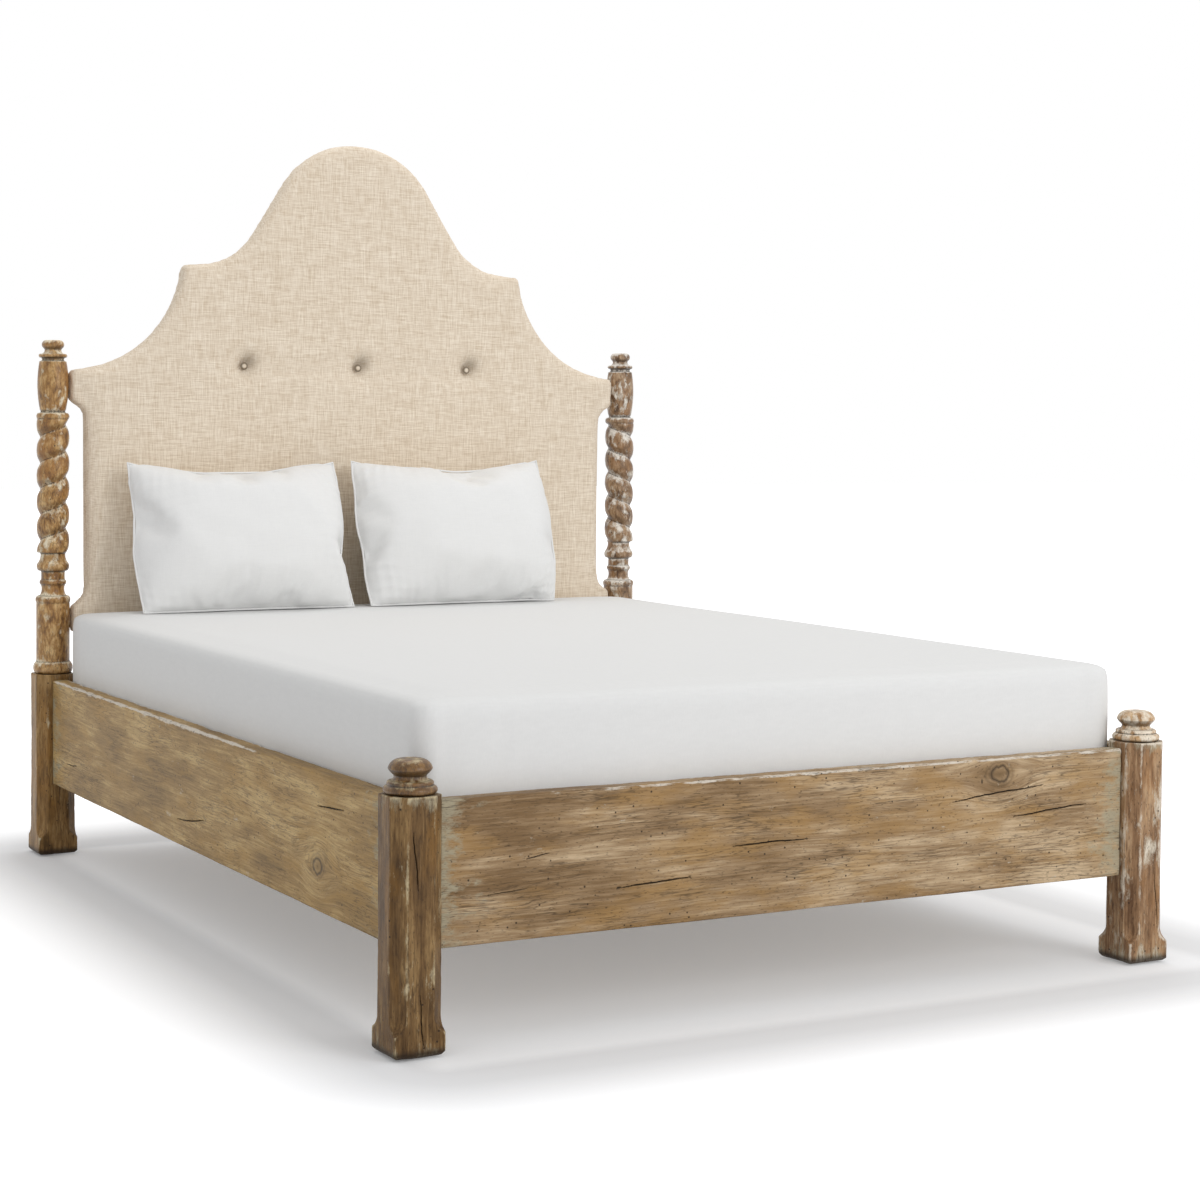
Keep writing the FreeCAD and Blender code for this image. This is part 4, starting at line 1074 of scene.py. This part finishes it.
@dataclass
class Headboard:
    """The padded linen panel, its three covered buttons and the dust cloth behind it.

    The button's profile is in shares of its radius and its rise.
    """

    sides: tuple[str, ...] = ("left", "centre", "right")
    voxel_mm: float = 7.0
    swell_mm: float = 3.0
    proud_mm: float = 1.5
    air: float = 2.0
    air_frames: int = 14
    back_hold_mm: float = 9.0
    wave_mm: float = 0.7
    wave_run_mm: tuple[float, float, float] = (260.0, 60.0, 200.0)
    pit_depth_mm: float = 10.5
    pit_radius_mm: float = 34.0
    fold_mm: float = 2.6
    fold_turns_deg: tuple[float, ...] = (18.0, 52.0, 88.0, 200.0, 290.0)
    fold_half_deg: float = 11.0
    pocket_mm: float = 13.0
    pocket_depth_mm: float = 6.0
    # How dark the painted shadow is in the pocket up and to the right of each button.
    pocket_shade_share: float = 0.5
    button_radius_mm: float = 10.0
    button_rise_mm: float = 5.0
    button_steps: int = 32
    button_profile: tuple[tuple[float, float], ...] = (
        (0.0, 1.0), (0.3, 0.97), (0.52, 0.86), (0.66, 0.66), (0.72, 0.5), (0.8, 0.62), (0.92, 0.6), (1.0, 0.38),
        (0.98, 0.12), (0.86, 0.0),
    )
    cloth_cell_mm: float = 60.0
    linen: Weave = Weave("slubby natural linen", "D1BCA1", "FDF1DF", 1.8, 34.0, 0.6)
    cloth: Weave = Weave("black dust cloth", "1B1A19", "34322F", 2.5, 18.0, 0.3, sheen=0.0)

    def centres(self) -> list[Vector]:
        """Find the middle of each button's seat from its CAD node.

        Returns:
            The seats, in the order of the sides.
        """
        found = []
        for side in self.sides:
            low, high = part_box(f"tuft_button_{side}")
            middle = (Vector(low) + Vector(high)) / 2
            found.append(Vector((middle.x, high[1], middle.z)))
        return found

    def near_buttons(self, points: np.ndarray) -> np.ndarray:
        """Mark the points round the buttons."""
        reach = 2.2 * self.pit_radius_mm * MM
        return np.any([np.hypot(points[:, 0] - centre.x, points[:, 2] - centre.z) < reach
                       for centre in self.centres()], axis=0)

    def fill_outline(self, mesh: Mesh) -> None:
        """Push the panel's edges out to the CAD cover's outline.

        Args:
            mesh: The swollen panel.
        """
        low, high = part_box("headboard_cover")
        points, normals = points_of(mesh), spread(mesh, normals_of(mesh), 5)
        lost = high[2] - points[:, 2].max()
        points[:, [0, 2]] += lost * normals[:, [0, 2]]
        points[:, 0] = np.clip(points[:, 0], low[0], high[0])
        move_points(mesh, points)

    def panel(self) -> None:
        """Make the padded panel with its buttoned pits."""
        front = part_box("headboard_cover")[0][1]
        piece = new_piece("linen_panel", merged_copy("headboard_core", "headboard_pad"))
        remesh(piece, self.voxel_mm)
        points = points_of(piece.data)
        back = points[:, 1].max()
        loose = np.clip((back - points[:, 1]) / (back - front), 0, 1)
        points[:, 1] += loose * self.swell_mm * MM
        move_points(piece.data, points)
        held = points[:, 1] > back - self.back_hold_mm * MM
        for centre in self.centres():
            held |= np.hypot(points[:, 0] - centre.x, points[:, 2] - centre.z) < 1.5 * self.voxel_mm * MM
        inflate(piece, self.air, self.air_frames, self.swell_mm + self.proud_mm, np.flatnonzero(held))
        self.fill_outline(piece.data)
        refine(piece.data, self.near_buttons, 2)
        self.press(piece.data, front)
        piece.data.shade_smooth()
        dress(piece, "bed_frame", self.linen)
        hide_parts("headboard_cover", "headboard_pad")

    def press(self, mesh: Mesh, front: float) -> None:
        """Pull the buttons' pits and their short folds into the panel's face, with painted shadow in each upper
        right pocket.

        Args:
            mesh: The swollen panel.
            front: The CAD cover's foremost Y.
        """
        points = points_of(mesh)
        facing = np.clip(-normals_of(mesh)[:, 1], 0, 1)
        sink = np.zeros(len(points))
        dust = np.zeros(len(points))
        for number, centre in enumerate(self.centres()):
            apart = points[:, [0, 2]] - np.array([centre.x, centre.z])
            far = np.hypot(*apart.T) / (self.pit_radius_mm * MM)
            angle = np.degrees(np.arctan2(apart[:, 1], apart[:, 0]))
            sink += self.pit_depth_mm * np.exp(-2.6 * far ** 1.1) * facing
            in_pocket = np.hypot(*(apart / (self.pocket_mm * MM) - 1).T)
            sink += self.pocket_depth_mm * np.exp(-0.5 * in_pocket ** 2) * facing
            # Painted shadow in the pocket up and to the right of the button, kept as the panel's shade attribute.
            dust += self.pocket_shade_share * np.exp(-0.35 * in_pocket ** 2) * facing
            for turn in self.fold_turns_deg:
                off = (angle - turn - 7 * number + 180) % 360 - 180
                ray = np.exp(-(off / self.fold_half_deg) ** 2)
                sink += self.fold_mm * ray * far * np.exp(-1.7 * far) * 2.7 * facing
        soft = ripple(points, self.wave_run_mm, 2.0) * self.wave_mm
        points[:, 1] += (sink + soft * facing) * MM
        points[:, 1] = np.maximum(points[:, 1], front - self.proud_mm * MM)
        move_points(mesh, points)
        set_attribute(mesh, "soil", dust)

    def button(self, side: str, centre: Vector) -> None:
        """Make a covered button: a dome, a drawn groove and a rolled rim.

        Args:
            side: left, centre or right.
            centre: The middle of its seat.
        """
        radius, rise = self.button_radius_mm * MM, self.button_rise_mm * MM
        shape = bmesh.new()
        ring = [shape.verts.new((centre.x + share * radius, centre.y - lift * rise, centre.z))
                for share, lift in self.button_profile]
        edges = [shape.edges.new(pair) for pair in zip(ring, ring[1:])]
        bmesh.ops.spin(shape, geom=ring + edges, cent=centre, axis=(0, 1, 0), angle=2 * math.pi,
                       steps=self.button_steps, use_merge=True)
        bmesh.ops.remove_doubles(shape, verts=shape.verts[:], dist=SEW)
        bmesh.ops.holes_fill(shape, edges=[edge for edge in shape.edges if edge.is_boundary], sides=0)
        bmesh.ops.recalc_face_normals(shape, faces=shape.faces[:])
        piece = new_piece(f"linen_button_{side}", shape)
        apart = points_of(piece.data) - np.array(centre)
        out = np.hypot(apart[:, 0], apart[:, 2]) / radius
        # Painted shade round the button's rim.
        set_attribute(piece.data, "soil", 0.8 * np.clip((out - 0.45) / 0.2, 0, 1))
        dress(piece, "bed_frame", self.linen)
        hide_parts(f"tuft_button_{side}")

    def dust_cloth(self) -> None:
        """Make the thin cloth that closes the panel's back."""
        shape = merged_copy("headboard_back_cover")
        long_edges = [edge for edge in shape.edges if edge.calc_length() > self.cloth_cell_mm * MM]
        bmesh.ops.subdivide_edges(shape, edges=long_edges, cuts=3)
        bmesh.ops.triangulate(shape, faces=[face for face in shape.faces if len(face.verts) > 4])
        piece = new_piece("dust_cloth_back", shape)
        dress(piece, "bed_frame", self.cloth)
        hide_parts("headboard_back_cover")

    def build(self) -> None:
        """Make the panel, the buttons and the cloth behind."""
        self.panel()
        for side, centre in zip(self.sides, self.centres()):
            self.button(side, centre)
        self.dust_cloth()


# ---------------------------------------------------------------- bedding


@dataclass
class MadeMattress:
    """The mattress and the white fitted sheet drawn over it."""

    core_voxel_mm: float = 20.0
    core_slack_mm: float = 3.0
    quilt_mm: float = 45.0
    quilt_depth_mm: float = 1.2
    sheet_voxel_mm: float = 12.0
    sheet_gap_mm: float = 0.8
    tuck_mm: float = 150.0
    underside_mm: float = 4.0
    wave_mm: float = 1.3
    side_wave_mm: float = 0.5
    fold_mm: float = 1.9
    fold_spacing_mm: float = 13.0
    fold_reach_mm: float = 330.0
    deepest_mm: float = -1.6
    flat_width_m: float = 2.462
    flat_length_m: float = 2.98
    flat_area_m2: float = 6.51
    ticking: Weave = Weave("white mattress ticking", "DAD9D5", "EFEEEB", 3.0, 12.0, 0.3, 2.0, (0, 1))
    percale: Weave = Weave("white cotton percale", "E5E5E4", "E9E9E8", 2.2, 30.0, 0.08, 1.2, (0, 1), 0.1)

    def core(self) -> None:
        """Make the mattress, a little slack of its sheet."""
        piece = new_piece("quilted_mattress", merged_copy("mattress"))
        remesh(piece, self.core_voxel_mm)
        mesh = piece.data
        points, normals = points_of(mesh), normals_of(mesh)
        quilt = self.quilt_depth_mm * np.prod(np.sin(points[:, :2] / (self.quilt_mm * MM)), axis=1)
        move_points(mesh, points + normals * ((quilt - self.core_slack_mm) * MM)[:, None])
        dress(piece, "mattress", self.ticking)
        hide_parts("mattress")

    def sheet(self) -> None:
        """Make the sheet: drawn tight over the top and sides and tucked under all round."""
        piece = new_piece("percale_sheet", merged_copy("mattress"))
        remesh(piece, self.sheet_voxel_mm)
        shape = bmesh.new()
        shape.from_mesh(piece.data)
        low, high = (np.array(corner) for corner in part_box("mattress"))
        tuck = self.tuck_mm * MM
        under = []
        for face in shape.faces:
            x, y, z = face.calc_center_median()
            inside = low[0] + tuck < x < high[0] - tuck and low[1] + tuck < y < high[1] - tuck
            if inside and z < low[2] + self.underside_mm * MM:
                under.append(face)
        bmesh.ops.delete(shape, geom=under, context="FACES")
        shape.to_mesh(piece.data)
        shape.free()
        self.rumple(piece.data, low, high)
        piece.data.shade_smooth()
        dress(piece, "mattress", self.percale)
        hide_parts("fitted_sheet")

    def rumple(self, mesh: Mesh, low: np.ndarray, high: np.ndarray) -> None:
        """Give the sheet its soft waves and the folds drawn down at its corners.

        Args:
            mesh: The sheet.
            low: The mattress's lowest corner.
            high: The mattress's highest corner.
        """
        points, normals = points_of(mesh), normals_of(mesh)
        upright = 1 - np.abs(normals[:, 2])
        to_corner = np.hypot(*np.minimum(points - low, high - points)[:, :2].T)
        near = np.clip(1 - to_corner / (self.fold_reach_mm * MM), 0, 1) ** 1.5
        along = points[:, 0] + points[:, 1]
        lean = (high[2] - points[:, 2]) * 0.12
        folds = np.sin((along + lean) / (self.fold_spacing_mm * MM) + 2.5 * ripple(points, (90, 90, 260), 4.0))
        waves = (ripple(points, (220, 260, 160), 1.0) * self.wave_mm
                 + ripple(points, (70, 70, 220), 6.0) * self.side_wave_mm * upright)
        rise = self.sheet_gap_mm + waves + folds * near * upright * self.fold_mm
        move_points(mesh, points + normals * (np.maximum(rise, self.deepest_mm) * MM)[:, None])

    def build(self) -> None:
        """Make the mattress and its sheet."""
        self.core()
        self.sheet()


@dataclass
class Pillow:
    """A stuffed pillow that leans on the headboard, with a corded seam round it."""

    side: str
    seed: float
    cell_mm: float = 7.0
    cut_mm: tuple[float, float] = (640.0, 450.0)
    bow_mm: float = 26.0
    crease_mm: float = 4.0
    crease_run_mm: float = 60.0
    slack_crown_mm: float = 62.0
    pressure: float = 5.0
    frames: int = 26
    cap_mm: float = 70.0
    lean_deg: float = 20.0
    press_mm: float = 10.0
    ease_mm: float = 4.0
    cord_mm: float = 2.6
    soft_rounds: int = 10
    corner_mm: float = 80.0
    wrinkle_mm: float = 2.2
    pleat_mm: float = 4.6
    pleat_reach_mm: float = 38.0
    cotton: Weave = Weave("white pillow cotton", "ECECEB", "F0F0EF", 2.2, 30.0, 0.08, 1.6, (0, 2), 0.1)

    @property
    def half(self) -> np.ndarray:
        """Give half of the cut's width and height in metres."""
        return np.array(self.cut_mm) * MM / 2

    def envelope(self) -> Object:
        """Sew two flat cuts together round their edges, a little crowned.

        Returns:
            The sewn envelope.
        """
        width, height = (size * MM for size in self.cut_mm)
        columns, rows = (round(size / self.cell_mm) for size in self.cut_mm)
        shape = bmesh.new()
        bmesh.ops.create_grid(shape, x_segments=columns, y_segments=rows, size=0.5)
        bmesh.ops.scale(shape, vec=(width, height, 1.0), verts=shape.verts[:])
        back = bmesh.ops.duplicate(shape, geom=shape.verts[:] + shape.edges[:] + shape.faces[:])["geom"]
        back_faces = [part for part in back if isinstance(part, bmesh.types.BMFace)]
        back_verts = {part for part in back if isinstance(part, bmesh.types.BMVert)}
        bmesh.ops.reverse_faces(shape, faces=back_faces)
        for vert in shape.verts:
            shares = (1 - (2 * vert.co.x / width) ** 2) * (1 - (2 * vert.co.y / height) ** 2)
            rise = self.slack_crown_mm * MM * max(0.0, shares) ** 0.55
            vert.co.z = -rise if vert in back_verts else rise
        bmesh.ops.remove_doubles(shape, verts=shape.verts[:], dist=SEW)
        return new_piece(f"cotton_pillow_{self.side}", shape)

    def bow(self, mesh: Mesh) -> None:
        """Let the cut's sides swell outwards and crease the cloth a little before it is filled.

        Args:
            mesh: The sewn envelope.
        """
        points = points_of(mesh)
        shares = points[:, :2] / self.half
        slack = 1 - shares ** 2
        points[:, :2] += shares * slack[:, ::-1] * self.bow_mm * MM
        creases = ripple(points, self.crease_run_mm, self.seed) * self.crease_mm * MM
        points[:, 2] += creases * np.prod(slack, axis=1)
        move_points(mesh, points)

    def rim(self, flat: np.ndarray) -> list[int]:
        """List the seam's vertices in order round the pillow.

        Args:
            flat: The places of all vertices in the flat cut.

        Returns:
            Vertex numbers.
        """
        on_seam = np.any(np.abs(np.abs(flat[:, :2]) - self.half) < NEAR, axis=1)
        numbers = np.flatnonzero(on_seam)
        places = flat[numbers, :2] / self.half
        widest = np.abs(places).max(axis=1, keepdims=True)
        turns = np.arctan2(*(places / widest)[:, ::-1].T)
        return numbers[np.argsort(turns)].tolist()

    def lower_edge(self, flat: np.ndarray) -> np.ndarray:
        """List the vertices of the seam's lower edge from left to right."""
        numbers = np.flatnonzero(flat[:, 1] < flat[:, 1].min() + NEAR)
        return numbers[np.argsort(flat[numbers, 0])]

    def ease(self, mesh: Mesh, seam: list[int], flat: np.ndarray) -> None:
        """Smooth the filled cloth's buckles, even its seam between the corners and gather fine wrinkles at it.

        Args:
            mesh: The filled pillow.
            seam: The seam's vertices in order.
            flat: The places of all vertices in the flat cut.
        """
        inward = self.half - np.abs(flat[:, :2])
        points = points_of(mesh)
        soft = spread(mesh, points, self.soft_rounds)
        line = points[seam]
        steps = range(-7, 8)
        even = sum(np.roll(line, step, axis=0) for step in steps) / len(steps)
        free = np.clip(np.hypot(*inward[seam].T) / (self.corner_mm * MM), 0, 1)[:, None]
        soft[seam] = line + (even - line) * free
        move_points(mesh, soft)
        turn = 2.5 * ripple(flat, 70.0, self.seed + 3)
        pleats = np.zeros(len(flat))
        for axis in (0, 1):
            reach = inward[:, axis] / (self.pleat_reach_mm * MM)
            pleats += np.sin(flat[:, 1 - axis] / (self.pleat_mm * MM) + turn) * reach * np.exp(1 - reach)
        patchy = np.clip(0.4 + ripple(flat, 110.0, self.seed + 7), 0, 1)
        rise = self.wrinkle_mm * MM * pleats * patchy
        move_points(mesh, soft + normals_of(mesh) * rise[:, None])

    def settle(self, mesh: Mesh, lower: np.ndarray) -> None:
        """Stand the filled pillow on the sheet, leaning on the headboard, and flatten it where it rests.

        Args:
            mesh: The filled pillow.
            lower: The vertices of the seam's lower edge, from left to right.
        """
        low, high = (Vector(corner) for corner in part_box(f"pillow_{self.side}"))
        points = points_of(mesh)
        points *= (high.x - low.x) / np.ptp(points[:, 0])
        turn = np.array(Matrix.Rotation(math.radians(90 - self.lean_deg), 3, "X"))
        points = points @ turn.T
        press = self.press_mm * MM
        points[:, 0] += (low.x + high.x) / 2 - (points[:, 0].max() + points[:, 0].min()) / 2
        points[:, 1] += high.y + press - points[:, 1].max()
        points[:, 2] += low.z - press - points[:, 2].min()
        tall = points[:, 2].max() - low.z
        hang = np.interp(points[:, 0], points[lower, 0], points[lower, 2]) - low.z
        share = np.clip(1 - (points[:, 2] - low.z) / (0.5 * tall), 0, 1)
        points[:, 2] -= hang * share * share * (3 - 2 * share)
        ease = self.ease_mm * MM
        points[:, 1] = high.y - ease * np.logaddexp(0, (high.y - points[:, 1]) / ease)
        points[:, 2] = low.z + ease * np.logaddexp(0, (points[:, 2] - low.z) / ease)
        move_points(mesh, points)

    def cord(self, places: np.ndarray, body: str) -> None:
        """Lay the seam's covered cord round the pillow.

        Args:
            places: The seam's places in order.
            body: The body that the pillow is.
        """
        line = bpy.data.curves.new("seam line", "CURVE")
        line.dimensions = "3D"
        line.bevel_depth = self.cord_mm * MM
        line.bevel_resolution = 2
        spline = line.splines.new("POLY")
        spline.points.add(len(places) - 1)
        spline.points.foreach_set("co", np.c_[places, np.ones(len(places))].ravel())
        spline.use_cyclic_u = True
        holder = bpy.data.objects.new("seam line", line)
        piece = link_piece(f"cotton_seam_{self.side}", bpy.data.meshes.new_from_object(holder))
        bpy.data.objects.remove(holder)
        bpy.data.curves.remove(line)
        dress(piece, body, self.cotton)

    def build(self) -> None:
        """Make the pillow and its seam."""
        body = f"{self.side}_pillow"
        piece = self.envelope()
        flat = points_of(piece.data)
        seam, lower = self.rim(flat), self.lower_edge(flat)
        self.bow(piece.data)
        inflate(piece, self.pressure, self.frames, self.cap_mm)
        self.ease(piece.data, seam, flat)
        self.settle(piece.data, lower)
        places = points_of(piece.data)[seam]
        divide(piece)
        dress(piece, body, self.cotton)
        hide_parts(f"pillow_{self.side}")
        self.cord(places, body)


# ---------------------------------------------------------------- carried-over nodes


@dataclass
class HiddenWorks:
    """The CAD pieces that show as they are: deck, beam, fittings and glides."""

    pine_across: PlanedTimber = PlanedTimber("planed pine across the bed", Grain.ACROSS_BED)
    pine_along: PlanedTimber = PlanedTimber("planed pine along the bed", Grain.ALONG_BED)
    pine_upright: PlanedTimber = PlanedTimber("planed pine upright", Grain.UPRIGHT)
    plywood: PlanedTimber = PlanedTimber("sanded birch plywood", Grain.UPRIGHT, "D8BC92", "BF9B6B", 16.0)
    beech: PlanedTimber = PlanedTimber("beech dowel", Grain.ACROSS_BED, "D9B98E", "BC9363", 3.0)
    steel: Speckled = Speckled("zinc-plated steel", "A3A5A4", "C2C3C0", 3.0, 0.38, 1.0, 0.04)
    nylon: Speckled = Speckled("moulded black nylon", "1D1C1B", "2C2B29", 1.5, 0.5)
    twine: Speckled = Speckled("waxed tufting twine", "C5B99F", "E0D7C4", 1.2, 0.7, 0.0, 0.3)

    def finish_for(self, node: str) -> Optional[Finish]:
        """Choose a CAD node's finish by how its name starts.

        Args:
            node: The node's name.

        Returns:
            The finish, or None where a new piece stands for the node.
        """
        starts = {
            self.steel: ("slat_screws", "ledger_screws", "centre_leg_bolts", "rail_", "hook_plate", "slot_plate",
                         "cleat_screws", "leveller_inserts", "tuft_anchors"),
            self.pine_across: ("slat_", "beam_cleat"),
            self.pine_along: ("ledger_", "centre_beam"),
            self.pine_upright: ("centre_leg",),
            self.plywood: ("headboard_core",),
            self.beech: ("headboard_dowels",),
            self.nylon: ("leg_glides", "leveller_"),
            self.twine: ("tuft_cords",),
        }
        return next((finish for finish, names in starts.items() if node.startswith(names)), None)

    def build(self) -> None:
        """Dress each CAD node that still shows."""
        for name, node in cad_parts.items():
            finish = self.finish_for(name)
            if finish is None:
                continue
            if not node.material_slots:
                node.data.materials.append(finish.material())
            for slot in node.material_slots:
                slot.material = finish.material()
            LOG.info("%s: %s", name, finish.name)


# ---------------------------------------------------------------- studio


@dataclass
class Studio:
    """A white floor, soft light from above and the front, and the camera.

    A lamp is a name, its place, the place that it faces, the side of its square and its watts.
    """

    floor_size_m: float = 60.0
    paper: StudioFloor = StudioFloor("white studio paper")
    world_level: float = 0.68
    lamps: tuple[tuple[Any, ...], ...] = (
        ("top soft box", (0.6, 0.9, 4.2), (0.0, 0.0, 0.5), 3.2, 36.0),
        ("front soft box", (1.8, -5.5, 2.4), (0.0, 0.0, 0.8), 3.0, 88.0),
    )
    camera_at_m: tuple[float, float, float] = (-2.4971, -4.8153, 1.0871)
    heading_deg: float = 28.82
    dip_deg: float = 2.0
    roll_deg: float = 0.47
    lens_mm: float = 72.377
    sensor_mm: float = 36.0
    shift_up: float = -0.0797

    def floor(self) -> None:
        """Lay the floor."""
        shape = bmesh.new()
        bmesh.ops.create_grid(shape, x_segments=8, y_segments=8, size=self.floor_size_m / 2)
        piece = new_piece("studio_floor", shape)
        piece.data.materials.append(self.paper.material())

    def world(self) -> None:
        """Light everything softly from all round, with white behind."""
        world = bpy.data.worlds.new("soft studio")
        world.use_nodes = True
        tree = world.node_tree
        add = partial(add_node, tree)
        level = add("MapRange", seen_rays(add), 0.0, 1.0, self.world_level, 1.0)
        set_sockets(tree, tree.nodes["Background"], {"Color": WHITE, "Strength": level})
        bpy.context.scene.world = world

    def light(self) -> None:
        """Hang the square soft boxes."""
        for name, at_m, aim_m, size_m, watts in self.lamps:
            lamp = bpy.data.lights.new(name, "AREA")
            lamp.size = size_m
            lamp.energy = watts
            holder = bpy.data.objects.new(name, lamp)
            holder.location = at_m
            holder.rotation_euler = (Vector(aim_m) - Vector(at_m)).to_track_quat("-Z", "Y").to_euler()
            bpy.context.scene.collection.objects.link(holder)

    def camera(self) -> None:
        """Stand the camera where the photograph was taken from."""
        lens = bpy.data.cameras.new("camera")
        lens.sensor_width = self.sensor_mm
        lens.lens = self.lens_mm
        lens.shift_y = self.shift_up
        holder = bpy.data.objects.new("camera", lens)
        holder.matrix_world = (
            Matrix.Translation(self.camera_at_m)
            @ Matrix.Rotation(-math.radians(self.heading_deg), 4, "Z")
            @ Matrix.Rotation(math.radians(90 - self.dip_deg), 4, "X")
            @ Matrix.Rotation(math.radians(self.roll_deg), 4, "Z")
        )
        bpy.context.scene.collection.objects.link(holder)
        bpy.context.scene.camera = holder

    def build(self) -> None:
        """Set up the floor, the light and the camera."""
        self.floor()
        self.world()
        self.light()
        self.camera()
        bpy.context.scene.view_settings.view_transform = "Standard"


def main() -> None:
    """Build the bed's pieces in order, then the studio."""
    logging.basicConfig(level=logging.INFO, format="%(name)s %(message)s")
    TimberFrame().build()
    Headboard().build()
    MadeMattress().build()
    Pillow("left", seed=1.0).build()
    Pillow("right", seed=2.0).build()
    HiddenWorks().build()
    Studio().build()


if __name__ == "__main__":
    main()
